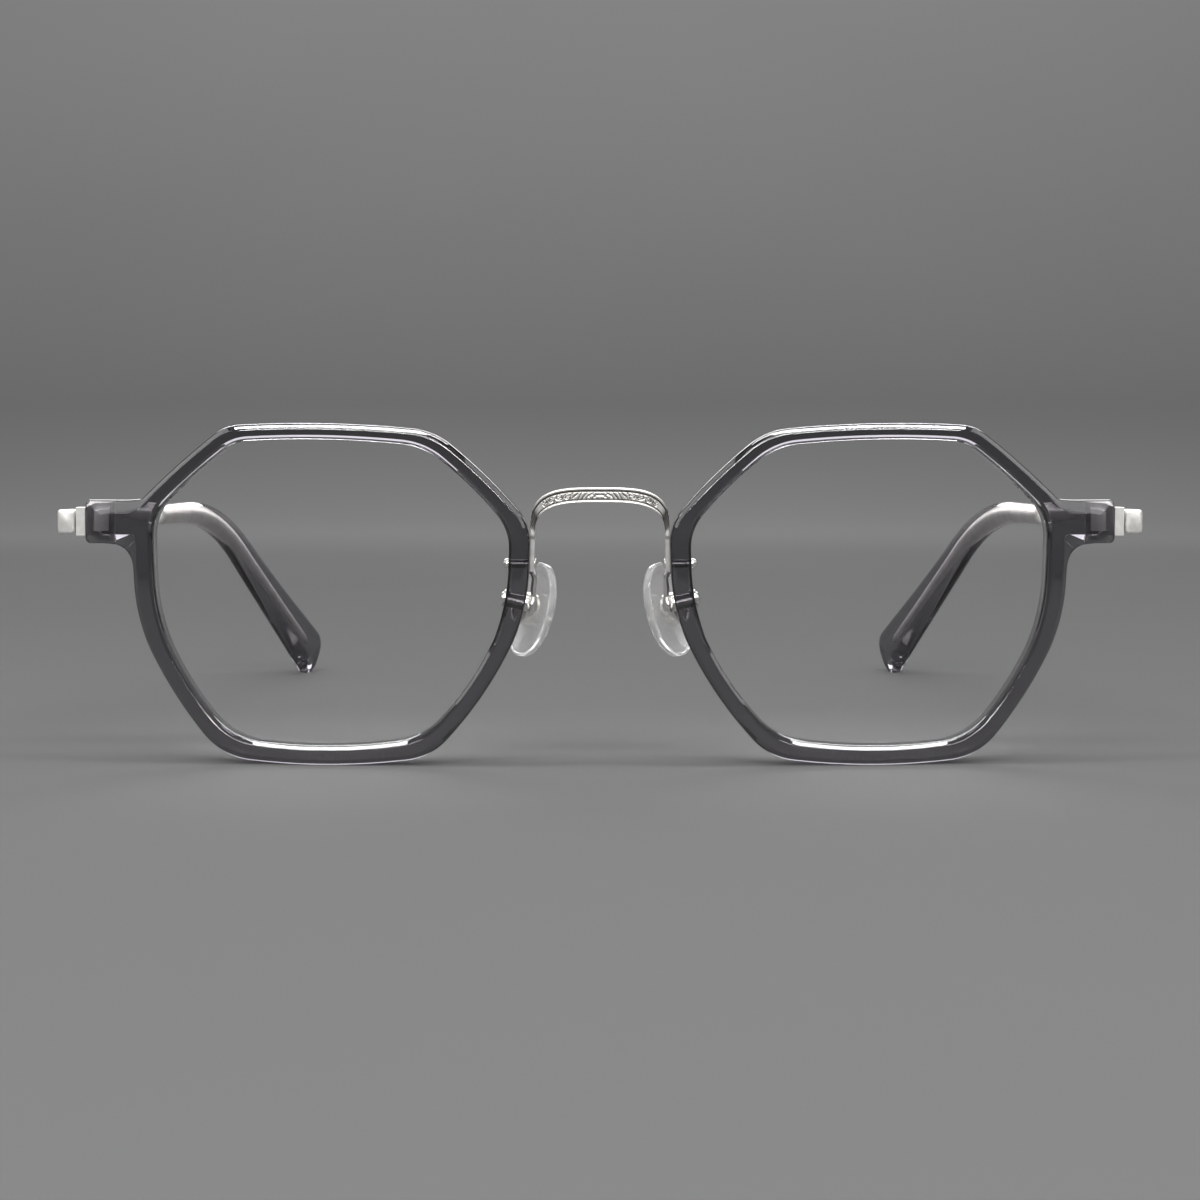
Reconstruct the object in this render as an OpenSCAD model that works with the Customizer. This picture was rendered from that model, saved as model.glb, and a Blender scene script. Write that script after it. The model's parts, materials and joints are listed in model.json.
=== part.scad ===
/* [Lenses] */
// Width of a lens over its edge
lens_w = 48; // [44:0.5:52]
// Height of a lens over its edge
lens_h = 41.5; // [38:0.5:45]
// Distance between the two lenses over the nose
nose_gap = 22.6; // [20:0.2:26]
// Thickness of a lens
lens_t = 1.2; // [1:0.1:1.5]
// Radius of the ball that the front surface of a lens lies on
base_radius = 132; // [110:1:180]
// Angle by which each lens turns back towards its temple
wrap_angle = 4; // [2:0.5:6]

/* [Rims] */
// Width of the rim's top bar, seen from the front
rim_top_w = 2.1; // [1.8:0.1:3]
// Width of the rim's slanting bars
rim_slant_w = 2.4; // [2:0.1:3]
// Width of the rim beside the nose
rim_nose_w = 2.7; // [2.4:0.05:3.4]
// Width of the rim's bottom and lower temple bars
rim_bottom_w = 2.6; // [2.2:0.1:3.2]
// Width of the rim beside the temple
rim_temple_w = 2.9; // [2.5:0.1:3.5]
// Depth of the rim from front to back
rim_depth = 4.4; // [4.2:0.1:5]
// How far the lens edge reaches into its groove
groove_depth = 0.5; // [0.4:0.05:0.7]
// Width of the bevel round the outer edge
outer_bevel = 0.65; // [0.4:0.05:0.9]
// Width of the bevel round the lens opening
inner_bevel = 0.6; // [0.4:0.05:0.8]

/* [End pieces] */
// How far an end piece stands out past its rim
lug_reach = 6.7; // [5.6:0.1:8.5]
// Height of an end piece
lug_h = 5.8; // [5.4:0.1:6.6]
// Height of an end piece's middle over the middle of the lens
lug_rise = 9.1; // [8.6:0.1:10]

/* [Bridge] */
// Height of the bridge bar at its middle
bridge_h = 2; // [1.6:0.1:2.6]
// Thickness of the bridge bar from front to back
bridge_t = 1.7; // [1.4:0.1:2.2]
// Thickness of the bridge legs on the rims
leg_t = 0.6; // [0.5:0.05:0.8]
// Rise of the bridge's top over the rims' nose corners
bridge_rise = 6.3; // [5.4:0.1:7]

/* [Nose pads] */
// Height of a nose pad
pad_h = 12.8; // [11:0.2:14]
// Width of a nose pad
pad_w = 7.6; // [6.6:0.2:8.4]
// Thickness of a nose pad
pad_t = 1.25; // [1:0.05:1.5]
// Outside diameter of the round pad cup
cup_d = 4.4; // [4:0.1:5]
// Angle by which the pads turn back from facing each other
pad_splay = 33; // [28:1:38]
// Lean of the pads, top towards the nose
pad_lean = 16; // [10:1:18]

/* [Hinges] */
// Height of a hinge barrel
hinge_h = 3.8; // [3.4:0.1:4.6]
// Diameter of a hinge barrel
barrel_d = 2.4; // [2.2:0.1:2.8]
// Diameter of the hinge screw's shaft
screw_d = 1.2; // [1:0.1:1.4]
// Thickness of the hinge plate behind the end piece
plate_t = 0.9; // [0.7:0.1:1.2]

/* [Temples] */
// Length of the metal bar from its front end to the collar
bar_l = 64; // [56:1:72]
// Height of the bar at the hinge
bar_h = 3.2; // [2.8:0.1:4]
// Thickness of the bar at the hinge
bar_w = 2.3; // [2:0.1:2.8]
// Diameter of the collar
ferrule_d = 3.3; // [3:0.1:4]
// Diameter of the wire inside the sleeve
core_d = 1.4; // [1.2:0.1:1.6]
// Straight length of the sleeve before the ear bend
ear_run = 13; // [11:1:20]
// Angle of the ear bend
ear_bend = 37; // [33:1:44]
// Radius of the ear bend
ear_radius = 36; // [28:1:44]
// How far the tip curves in towards the head
tip_inset = 17.4; // [10:0.2:18]
// Height of the sleeve near its end
tip_h = 9.4; // [7:0.2:10]
// Thickness of the sleeve
tip_w = 3.6; // [3.2:0.1:4]

/* [Hidden] */
$fn = 48;

// Left is the wearer's left, on +X. Everything is worked out for that side and
// mirrored. The front faces -Y and the frame stands on Z = 0.
acetate = [0.36, 0.36, 0.38, 0.7];
silver = [0.78, 0.76, 0.72];
clear = [0.9, 0.93, 0.95, 0.4];
clear_pad = [0.85, 0.86, 0.86, 0.6];
eps = 0.01;

// Clearances between pieces of the same body, running pieces and loose ones
seat_gap = 0.05;
running_gap = 0.05;
groove_gap = 0.1;
pad_gap = 0.5;

function bezier(a, c, b, t) = (1 - t) * (1 - t) * a + 2 * t * (1 - t) * c + t * t * b;
function lerp(a, b, t) = a + (b - a) * t;
function clamp(v) = max(0, min(1, v));
function smooth(v) = clamp(v) * clamp(v) * (3 - 2 * clamp(v));
function unit(v) = v / norm(v);
function power(v, p) = sign(v) * pow(abs(v), p);

// Lens opening, seen from the front. Its eight corners are shares of half its
// width and height from its middle, x towards the temple, anticlockwise from
// the upper temple corner.
half_w = lens_w / 2 - groove_depth;
half_h = lens_h / 2 - groove_depth;
corner_share = [
    [0.54, 0.97], [-0.52, 0.94], [-1, 0.4], [-0.99, -0.07],
    [-0.5, -0.945], [0.56, -0.95], [0.98, -0.17], [1.005, 0.5]
];
// How far each side bows out, from the top side round the nose
side_bow = [0.6, 0.6, 0, 1.4, 1, 0.95, 0.15, 0.3];
// Length that each corner's rounding takes off its sides
corner_cut = [2, 2.8, 2.5, 5, 3, 3.6, 4.4, 3];
// Width of the rim along each side
rim_widths = [
    rim_top_w, rim_slant_w, rim_nose_w, rim_slant_w,
    rim_bottom_w, rim_bottom_w, rim_temple_w, rim_slant_w
];
side_steps = [4, 3, 2, 5, 5, 4, 2, 2];
corner_steps = 4;
lug_points = 15;
lug_corner = 7;

lens_x = nose_gap / 2 + lens_w / 2;
corners = [for (c = corner_share) [c[0] * half_w, c[1] * half_h]];
function before(i) = (i + 7) % 8;
function after(i) = (i + 1) % 8;
function side_normal(i) =
    let (d = unit(corners[after(i)] - corners[i])) [d[1], -d[0]];

// Corner i when each side is moved outwards by its own distance in d
function moved_corner(i, d) =
    let (
        p = side_normal(before(i)),
        q = side_normal(i),
        a = d[before(i)],
        b = d[i]
    )
    corners[i] + [a * q[1] - b * p[1], p[0] * b - q[0] * a] / (p[0] * q[1] - p[1] * q[0]);

// Point on side i, from its first corner at t = 0 to its second at t = 1
function side_point(i, d, t) =
    let (
        a = moved_corner(i, d),
        b = moved_corner(after(i), d)
    )
    bezier(a, (a + b) / 2 + 2 * side_bow[i] * side_normal(i), b, t);
function side_length(i, d) = norm(moved_corner(after(i), d) - moved_corner(i, d));
function cut_share(i, side, d) = corner_cut[i] / side_length(side, d);

function corner_curve(i, d, steps) = [
    for (k = [0 : steps])
    bezier(side_point(before(i), d, 1 - cut_share(i, before(i), d)),
        moved_corner(i, d), side_point(i, d, cut_share(i, i, d)), k / steps)
];
function side_curve(i, d, first, last) = [
    for (k = [1 : side_steps[i] - 1])
    side_point(i, d, lerp(first, 1 - last, k / side_steps[i]))
];

// The end piece replaces corner 7: a fillet up from the rim, a lower corner, an
// upper corner and a fillet into the slanting bar. box is [end, low, high].
lug_root = 8;
lug_shoulder = 2;
lug_round = 0.7;
lug_fillet = 4;
lug_top_fillet = 1.4;
function quarter(c, r, from) = [for (k = [0 : 2]) c + r * [cos(from + 45 * k), sin(from + 45 * k)]];
function lug_curve(d, box, root_share, fillet) =
    let (
        h = moved_corner(lug_corner, d),
        start = side_point(6, d, 1 - lug_root / side_length(6, d)),
        finish = side_point(7, d, lug_shoulder / side_length(7, d)),
        foot = [h[0], box[1]],
        bend = lerp(foot, start, root_share)
    )
    concat(
        [start],
        [for (k = [1 : 4]) bezier(bend, foot, foot + [fillet, 0], k / 4)],
        quarter([box[0] - lug_round, box[1] + lug_round], lug_round, -90),
        quarter([box[0] - lug_round, box[2] - lug_round], lug_round, 0),
        [for (k = [0 : 3]) bezier([h[0] + lug_top_fillet, box[2]], [h[0], box[2]], finish, k / 3)]
    );

// Whole outline about the middle of the lens; curve_7 stands in for corner 7
function outline(d, curve_7, cut_low, cut_high) = [
    for (i = [0 : 7])
    each concat(
        i == lug_corner ? curve_7 : corner_curve(i, d, corner_steps),
        side_curve(i, d,
            i == lug_corner ? cut_high : cut_share(i, i, d),
            i == 6 ? cut_low : cut_share(after(i), i, d))
    )
];
function plain_outline(distance) =
    let (d = [for (i = [0 : 7]) distance])
    outline(d, corner_curve(lug_corner, d, lug_points - 1),
        cut_share(lug_corner, 6, d), cut_share(lug_corner, 7, d));
function lug_outline(inset, box, root_share, fillet) =
    let (d = [for (w = rim_widths) w - inset])
    outline(d, lug_curve(d, box, root_share, fillet),
        lug_root / side_length(6, d), lug_shoulder / side_length(7, d));

// End piece, in the same place as the outline
lug_end = moved_corner(lug_corner, rim_widths)[0] + lug_reach;
lug_low = lug_rise - lug_h / 2;
lug_high = lug_rise + lug_h / 2;
flat_end_inset = 2.4;
flat_low_inset = 1.3;
flat_high_inset = 1.85;
back_bevel = 0.3;
flat_root_share = 0.2;
flat_fillet = 0.8;

opening = plain_outline(0);
groove_line = plain_outline(groove_depth);
flat_inside = plain_outline(inner_bevel);
back_inside = plain_outline(back_bevel);
outside = lug_outline(0, [lug_end, lug_low, lug_high], 1, lug_fillet);
flat_outside = lug_outline(outer_bevel,
    [lug_end - flat_end_inset, lug_low + flat_low_inset, lug_high - flat_high_inset],
    flat_root_share, flat_fillet);
back_outside = lug_outline(back_bevel,
    [lug_end - back_bevel, lug_low + back_bevel, lug_high - back_bevel], 1, lug_fillet);

// The frame stands on the lowest points of the rims
stand_z = -min([for (p = outside) p[1]]);
ball_x = lens_x - base_radius * sin(wrap_angle);

// Depth of the ball's surface at a place on the front, x and z in the frame
function front_y(x, z) =
    base_radius
        - sqrt(base_radius * base_radius - (x - ball_x) * (x - ball_x) - (z - stand_z) * (z - stand_z));
function on_front(p, y) =
    let (x = lens_x + p[0], z = stand_z + p[1]) [x, front_y(x, z) + y, z];

// Cross-section of the rim
bevel_y = 0.5;
lug_bevel_y = 1.1;
lens_y = 0.75;
groove_y = lens_y + lens_t / 2;
groove_mouth = 0.9;
groove_floor = 0.6;
station_count = len(opening);
lug_first = station_count - lug_points - side_steps[7] + 1;
function lug_share(s) =
    let (k = s - lug_first)
    clamp(min(k, lug_points - 1 - k) / 3);
function rim_section(s) = [
    on_front(opening[s], bevel_y),
    on_front(opening[s], groove_y - groove_mouth / 2),
    on_front(groove_line[s], groove_y - groove_floor / 2),
    on_front(groove_line[s], groove_y + groove_floor / 2),
    on_front(opening[s], groove_y + groove_mouth / 2),
    on_front(opening[s], rim_depth - back_bevel),
    on_front(back_inside[s], rim_depth),
    on_front(back_outside[s], rim_depth),
    on_front(outside[s], rim_depth - back_bevel),
    on_front(outside[s], lerp(bevel_y, lug_bevel_y, lug_share(s))),
    on_front(flat_outside[s], 0),
    on_front(flat_inside[s], 0)
];

// Bridge pin and pad stud, both through the rim beside the nose
pin_y_in_rim = 3.15;
pin_rise = 3.65;
pin_z = stand_z + pin_rise;
pin_d = 1.1;
pin_head_d = 1.45;
pin_head_l = 0.85;
head_gap = 0.1;
head_overlap = 0.2;
rivet_t = 0.3;
nose_wall_top = moved_corner(2, rim_widths) + [lens_x, stand_z];
nose_wall_low = moved_corner(3, rim_widths) + [lens_x, stand_z];
function nose_wall_x(z) = lerp(nose_wall_low[0], nose_wall_top[0],
    (z - nose_wall_low[1]) / (nose_wall_top[1] - nose_wall_low[1]));
function nose_opening_x(z) = lens_x + lerp(corners[3][0], corners[2][0],
    (z - stand_z - corners[3][1]) / (corners[2][1] - corners[3][1]));
pin_y = front_y(nose_wall_x(pin_z), pin_z) + pin_y_in_rim;
pin_out_x = nose_wall_x(pin_z);
pin_in_x = nose_opening_x(pin_z) + head_gap;
stud_d = 1.9;
stud_head_d = 2.4;
stud_head_l = 0.7;
stud_tilt = 14;
stud_drop = 1.65;
stud_inset = 0.2;
stud_show = 0.5;
stud_z = stand_z - stud_drop;
stud_x = nose_wall_x(stud_z) + stud_inset;
stud_y = front_y(stud_x, stud_z) + pin_y_in_rim;
stud_l = rim_nose_w + stud_show;
stud_reach = 0.05;
foot_back = 0.35;

// Bridge: legs on the rims' nose walls carry an arched bar
leg_w = 2.4;
leg_below_pin = 0.95;
arch_drop = 1.4;
leg_low = pin_z - leg_below_pin;
arch_z = nose_wall_top[1] - arch_drop;
arch_out = nose_wall_x(arch_z) - eps;
arch_in = arch_out - leg_t;
outer_power = 3.5;
inner_power = 3;
bridge_y = 0.5;
bridge_bow = 0.8;
bridge_chamfer = 0.15;
// The flat leg turns into the taller bar while the arch runs inwards this far
turn_lead = 0.2;
turn_run = 1.6;
// Two rails stand up along the bar's edges, with the field between them sunk
rail_share = 0.1;
rail_slope = 0.05;
field_depth = 0.14;
function arch_point(w, h, a, p) = [w * power(cos(a), 2 / p), arch_z + h * power(sin(a), 2 / p)];
function bar_section(p, q, front, back, field) =
    let (
        u = unit(q - p) * bridge_chamfer,
        rail = u + rail_share * (q - p),
        slope = rail + rail_slope * (q - p)
    )
    [
        [p[0], front + bridge_chamfer, p[1]],
        [p[0] + u[0], front, p[1] + u[1]],
        [p[0] + rail[0], front, p[1] + rail[1]],
        [p[0] + slope[0], front + field, p[1] + slope[1]],
        [q[0] - slope[0], front + field, q[1] - slope[1]],
        [q[0] - rail[0], front, q[1] - rail[1]],
        [q[0] - u[0], front, q[1] - u[1]],
        [q[0], front + bridge_chamfer, q[1]],
        [q[0], back - bridge_chamfer, q[1]],
        [q[0] - u[0], back, q[1] - u[1]],
        [p[0] + u[0], back, p[1] + u[1]],
        [p[0], back - bridge_chamfer, p[1]]
    ];
function arch_section(a) =
    let (
        p = arch_point(arch_out, bridge_rise, a, outer_power),
        q = arch_point(arch_in, bridge_rise - bridge_h, a, inner_power),
        bar = smooth((arch_out - q[0] + turn_lead) / turn_run),
        front = lerp(pin_y - leg_w / 2, bridge_y + bridge_bow * pow(p[0] / arch_out, 2), bar)
    )
    bar_section(p, q, front, lerp(pin_y + leg_w / 2, front + bridge_t, bar), field_depth * bar);
function leg_section(z) =
    bar_section([nose_wall_x(z) - eps, z], [nose_wall_x(z) - eps - leg_t, z],
        pin_y - leg_w / 2, pin_y + leg_w / 2, 0);
leg_sections = [for (k = [0 : 2]) leg_section(lerp(leg_low, arch_z, k / 3))];
arch_angles = [0, 7, 13, 19, 25, 31, 38, 46, 55, 65, 77];
half_bridge = concat(leg_sections, [for (a = arch_angles) arch_section(a)]);
function mirrored(ring) = [for (p = ring) [-p[0], p[1], p[2]]];
bridge_sections = concat(
    half_bridge,
    [arch_section(90)],
    [for (k = [len(half_bridge) - 1 : -1 : 0]) mirrored(half_bridge[k])]
);

// Nose pad, in its own frame: face to -X, width along Y, height along Z, with
// the rocking screw along Y
rock_x = 1.75;
pad_off_wall = 1.05;
pad_off_rim = 3.5;
pad_drop = 1.25;
pad_ball = 20;
boss_w = 1.8;
boss_h = 2;
boss_wall = 0.75;
boss_end = rock_x + boss_wall;
pad_screw_d = 0.8;
pad_screw_head = 1.2;
pad_screw_head_h = 0.3;
screw_fit = 0.04;
cup_wall = 0.5;
cup_space = 0.3;
cup_base = 0.4;
cup_mouth = pad_t / 2 + pad_gap;
cup_floor = boss_end + cup_space;
cup_back = cup_floor + cup_base;
pad_x = nose_wall_x(stud_z) - pad_off_wall;
pad_y = front_y(nose_wall_x(stud_z), stud_z) + rim_depth + pad_off_rim;
pad_z = stud_z - pad_drop;
pad_edge_power = 2.3;
pad_taper = 0.1;
pad_outline = [
    for (k = [0 : 31])
    let (
        a = k * 360 / 32,
        z = pad_h / 2 * power(sin(a), 2 / pad_edge_power)
    )
    [pad_w / 2 * power(cos(a), 2 / pad_edge_power) * (1 - pad_taper * z / pad_h), z]
];

// Place of the pad's own frame
module at_pad() {
    translate([pad_x, pad_y, pad_z])
        rotate([0, -pad_lean, 0])
            rotate([0, 0, -pad_splay])
                children();
}
function pad_to_frame(p) =
    let (
        x = p[0] * cos(pad_splay) + p[1] * sin(pad_splay),
        y = p[1] * cos(pad_splay) - p[0] * sin(pad_splay)
    )
    [pad_x + x * cos(pad_lean) - p[2] * sin(pad_lean), pad_y + y,
        pad_z + x * sin(pad_lean) + p[2] * cos(pad_lean)];

// Pad arm: wire from under the bridge leg, over the stud's foot, to the cup
arm_d = 0.8;
foot_d = 2.2;
foot_t = 0.45;
arm_x = nose_wall_x(pin_z) - eps - leg_t / 2;
arm_bulge = 0.3;
arm_knee = [arm_x - 0.27, stud_y + 0.5, stud_z - 0.5];
arm_points = [
    [arm_x, pin_y, leg_low - 0.15],
    [arm_x - arm_bulge, pin_y, leg_low - 1],
    [arm_x - arm_bulge / 2, pin_y + 0.1, lerp(leg_low, stud_z, 0.6)],
    arm_knee,
    lerp(pad_to_frame([cup_back, -cup_d / 2, 0]), arm_knee, 0.4),
    pad_to_frame([(cup_mouth + cup_back) / 2 + 0.2, -cup_d / 2 + 0.3, 0])
];

// Hinge on the back of the end piece, about an upright screw. Its plate lies in
// a shallow seat, its cheek covers the end and its tang sits in a pocket.
hinge_z = stand_z + lug_rise;
lug_end_x = lens_x + lug_end;
plate_l = 4.3;
seat_cut = 0.1;
seat_x = lug_end_x - plate_l;
seat_y = front_y(seat_x, hinge_z) + rim_depth - seat_cut;
cheek_t = 1.25;
cheek_x = lug_end_x + 2 * eps;
cheek_y = front_y(lug_end_x, hinge_z) + lug_bevel_y + seat_cut;
axis_inset = 1.35;
barrel_gap = 0.15;
axis_x = lug_end_x - axis_inset;
axis_y = seat_y + plate_t + barrel_gap + barrel_d / 2;
knuckle_h = hinge_h / 3 - running_gap;
tang = [2, 1.5, 2.6];
tang_inset = 3.6;
tang_x = lug_end_x - tang_inset;
screw_head_d = 1.9;
screw_head_h = 0.4;
bar_x = cheek_x + cheek_t + barrel_gap;

// Temple: a metal bar that narrows to a wire inside the sleeve
bar_front = [bar_x + bar_w / 2, cheek_y - seat_cut, hinge_z];
bar_spread = 0.5;
bar_drop = 0.8;
ferrule_at = bar_front + [bar_spread, bar_l, -bar_drop];
ferrule_l = 1.8;
wire_d = 2;
sleeve_gap = 0.15;
// The rounded tip is pressed a little flat on the floor
tip_round = 3;
tip_flat = 0.1;
tip_end_z = -tip_flat + max([
    for (a = [0 : 10 : 90])
    tip_h / 2 * cos(ear_bend) * cos(a) - tip_round * (1 - sin(a)) * sin(ear_bend)
]);
ear_drop = ear_radius * (1 - cos(ear_bend));
ear_arc = ear_radius * ear_bend * PI / 180;
sleeve_start = ferrule_at + [0, ferrule_l / 2 + sleeve_gap, 0];
ear_tail = (sleeve_start[2] - tip_end_z - ear_drop) / sin(ear_bend);
sleeve_l = ear_run + ear_arc + ear_tail;
inset_power = 1.12;
sleeve_power = 1.5;
sleeve_start_d = ferrule_d - 0.1;
sleeve_widening = 20;
sleeve_squareness = 2.3;
function ear_side(s) =
    s < ear_run ? [s, 0]
    : s < ear_run + ear_arc ?
        let (a = (s - ear_run) / ear_radius * 180 / PI)
        [ear_run + ear_radius * sin(a), -ear_radius * (1 - cos(a))]
    : let (r = s - ear_run - ear_arc)
        [ear_run + ear_radius * sin(ear_bend) + r * cos(ear_bend), -ear_drop - r * sin(ear_bend)];
function ear_point(s) =
    let (p = ear_side(s))
    sleeve_start + [-tip_inset * pow(max(s, 0) / sleeve_l, inset_power), p[0], p[1]];
function ear_tangent(s) = unit(ear_point(s + 0.2) - ear_point(s - 0.2));
function sleeve_h(s) = lerp(sleeve_start_d, tip_h, pow(clamp(s / sleeve_l), sleeve_power));
function sleeve_w(s) = lerp(sleeve_start_d, tip_w, clamp(s / sleeve_widening));
function tip_taper(s) =
    s < sleeve_l - tip_round ? 1
    : sqrt(max(0.02, 1 - pow((s - sleeve_l + tip_round) / tip_round, 2)));

// Ring of n points across a path, w wide sideways and h high, rounder at power 2
function cross_ring(p, t, w, h, n, e) =
    let (
        side = unit(cross(t, [0, 0, 1])),
        up = cross(side, t)
    )
    [
        for (k = [0 : n - 1])
        let (a = (k + 0.5) * 360 / n)
        p + side * (w / 2 * power(cos(a), 2 / e)) + up * (h / 2 * power(sin(a), 2 / e))
    ];
function above_floor(ring) = [for (p = ring) [p[0], p[1], max(p[2], 0)]];

sleeve_sides = 16;
sleeve_at = concat(
    [for (k = [0 : 14]) (sleeve_l - tip_round) * k / 14],
    [for (k = [1 : 4]) sleeve_l - tip_round + tip_round * sin(k * 90 / 4)]
);
sleeve_rings = [
    for (s = sleeve_at)
    above_floor(cross_ring(ear_point(s), ear_tangent(s),
        sleeve_w(s) * tip_taper(s), sleeve_h(s) * tip_taper(s), sleeve_sides, sleeve_squareness))
];
// The wire's channel follows the wire and runs out past both of its ends
core_short = 6;
core_l = sleeve_l - core_short;
channel_d = core_d + 2 * groove_gap;
core_at = [for (k = [0 : 16]) core_l * k / 16];
channel_rings = [
    for (s = concat([-1], core_at, [core_l + 1]))
    cross_ring(ear_point(s), ear_tangent(s), channel_d, channel_d, sleeve_sides, 2)
];

// Bar stations from its front end: share of length, width, height, squareness
bar_end_round = 0.4;
bar_taper = [
    [0, bar_w - bar_end_round, bar_h - bar_end_round, 6],
    [0.003, bar_w, bar_h, 6],
    [0.1, bar_w, bar_h, 6],
    [0.3, bar_w * 0.86, bar_h * 0.86, 5],
    [0.6, bar_w * 0.76, bar_h * 0.72, 3.4],
    [0.9, wire_d * 0.9, wire_d, 2.4],
    [1, wire_d, wire_d, 2]
];
bar_end = ferrule_at - [0, ferrule_l / 2 + seat_gap, 0];
bar_line = bar_end - bar_front;
temple_sides = 12;
temple_rings = concat(
    [
        for (b = bar_taper)
        cross_ring(bar_front + bar_line * b[0], unit(bar_line), b[1], b[2], temple_sides, b[3])
    ],
    [cross_ring(bar_end, unit(bar_line), core_d, core_d, temple_sides, 2)],
    [for (s = core_at) cross_ring(ear_point(s), ear_tangent(s), core_d, core_d, temple_sides, 2)]
);

// The origin is under the middle of the whole object
tip_back_y = max([for (ring = sleeve_rings, p = ring) p[1]]);
middle_y = (bridge_y + tip_back_y) / 2;

module in_frame() {
    translate([0, -middle_y, 0])
        children();
}
module other_side() {
    mirror([1, 0, 0])
        children();
}

// Closed surface through rings of equal point counts. The two ends are closed
// by fans, or joined to each other.
module skin(rings, joined = false) {
    n = len(rings[0]);
    m = len(rings);
    spans = joined ? m : m - 1;
    centres = joined ? [] : [for (ring = [rings[0], rings[m - 1]]) [for (p = ring) 1 / n] * ring];
    walls = [
        for (i = [0 : spans - 1], j = [0 : n - 1])
        let (
            a = i * n + j,
            b = i * n + (j + 1) % n,
            c = ((i + 1) % m) * n + (j + 1) % n,
            d = ((i + 1) % m) * n + j
        )
        each [[a, b, c], [a, c, d]]
    ];
    ends = joined ? [] : [
        for (j = [0 : n - 1])
        each [
            [m * n, (j + 1) % n, j],
            [m * n + 1, (m - 1) * n + j, (m - 1) * n + (j + 1) % n]
        ]
    ];
    polyhedron(concat([for (ring = rings) each ring], centres), concat(walls, ends));
}

module across(from, to, d) {
    translate([from, 0, 0])
        rotate([0, 90, 0])
            cylinder(h = to - from, d = d);
}
module at_stud() {
    translate([stud_x, stud_y, stud_z])
        rotate([0, 90 - stud_tilt, 0])
            children();
}
// Round head with its flat side on Z = 0
module dome(d, h) {
    ball = (d * d / 4 + h * h) / (2 * h);
    intersection() {
        translate([0, 0, h - ball])
            sphere(r = ball);
        cylinder(h = h, d = d);
    }
}

module rim() {
    color(acetate)
        in_frame()
            difference() {
                skin([for (s = [0 : station_count - 1]) rim_section(s)], true);
                translate([0, pin_y, pin_z])
                    across(nose_wall_x(pin_z) - 1, nose_opening_x(pin_z) + 1, pin_d + 2 * seat_gap);
                at_stud()
                    translate([0, 0, -1])
                        cylinder(h = stud_l + 2, d = stud_d + 2 * seat_gap);
                translate([seat_x - seat_cut, seat_y, hinge_z - lug_h])
                    cube([lug_reach, rim_depth, 2 * lug_h]);
                translate([tang_x, seat_y - tang[1], hinge_z - tang[2] / 2] - seat_gap * [1, 1, 1])
                    cube([tang[0] + 2 * seat_gap, tang[1] + 1, tang[2] + 2 * seat_gap]);
            }
}

// Flat blank of the opening's outline, moved out by a distance
module blank(distance) {
    depth = 12;
    translate([lens_x, depth, stand_z])
        rotate([90, 0, 0])
            linear_extrude(height = depth + 1)
                polygon(plain_outline(distance));
}
// What lies between two depths behind the front ball
module shell(y, t) {
    difference() {
        translate([ball_x, base_radius + y, stand_z])
            sphere(r = base_radius, $fn = 180);
        translate([ball_x, base_radius + y + t, stand_z])
            sphere(r = base_radius, $fn = 180);
    }
}
module lens() {
    edge_t = 0.4;
    color(clear)
        in_frame()
            union() {
                intersection() {
                    blank(-groove_gap);
                    shell(lens_y, lens_t);
                }
                intersection() {
                    blank(groove_depth - groove_gap);
                    shell(lens_y + (lens_t - edge_t) / 2, edge_t);
                }
            }
}

module bridge() {
    color(silver)
        in_frame()
            difference() {
                skin(bridge_sections);
                for (side = [-1, 1])
                    translate([side * pin_out_x, pin_y, pin_z])
                        across(-2 * leg_t, 2 * leg_t, pin_d + 2 * seat_gap);
            }
}
module bridge_pin() {
    translate([0, pin_y, pin_z]) {
        across(pin_out_x - leg_t - rivet_t, pin_in_x + head_overlap, pin_d);
        translate([pin_in_x, 0, 0])
            rotate([0, 90, 0])
                dome(pin_head_d, pin_head_l);
        translate([pin_out_x - leg_t - seat_gap, 0, 0])
            rotate([0, -90, 0])
                dome(pin_head_d, rivet_t);
    }
}
module pad_stud() {
    at_stud() {
        translate([0, 0, -stud_reach])
            cylinder(h = stud_reach + stud_l, d = stud_d);
        translate([0, 0, stud_l - head_overlap / 2])
            dome(stud_head_d, stud_head_l);
    }
}
module pairs(shade) {
    color(shade)
        in_frame() {
            children();
            other_side()
                children();
        }
}

// Smooth line through the points that were chosen, for the arm's wire
function spline(p, i, t) =
    let (
        a = p[max(i - 1, 0)],
        b = p[i],
        c = p[i + 1],
        d = p[min(i + 2, len(p) - 1)]
    )
    0.5 * (2 * b + (c - a) * t + (2 * a - 5 * b + 4 * c - d) * t * t
        + (3 * b - a - 3 * c + d) * t * t * t);
module wire(points, d) {
    line = concat([for (i = [0 : len(points) - 2], t = [0, 1 / 3, 2 / 3]) spline(points, i, t)],
        [points[len(points) - 1]]);
    last = len(line) - 1;
    skin([
        for (k = [0 : last])
        let (
            t = unit(line[min(k + 1, last)] - line[max(k - 1, 0)]),
            u = unit(cross(t, [1, 0, 0])),
            v = cross(t, u)
        )
        [for (a = [0 : 36 : 324]) line[k] + d / 2 * (cos(a) * v + sin(a) * u)]
    ]);
}
module pad_arm() {
    color(silver)
        in_frame()
            difference() {
                union() {
                    wire(arm_points, arm_d);
                    at_stud()
                        translate([0, 0, -foot_t - foot_back])
                            cylinder(h = foot_t, d = foot_d);
                    at_pad()
                        difference() {
                            across(cup_mouth, cup_back, cup_d);
                            across(cup_mouth - 1, cup_floor, cup_d - 2 * cup_wall);
                        }
                }
                at_pad()
                    translate([rock_x, -cup_d, 0])
                        rotate([-90, 0, 0])
                            cylinder(h = 2 * cup_d, d = pad_screw_d + screw_fit);
            }
}
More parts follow.
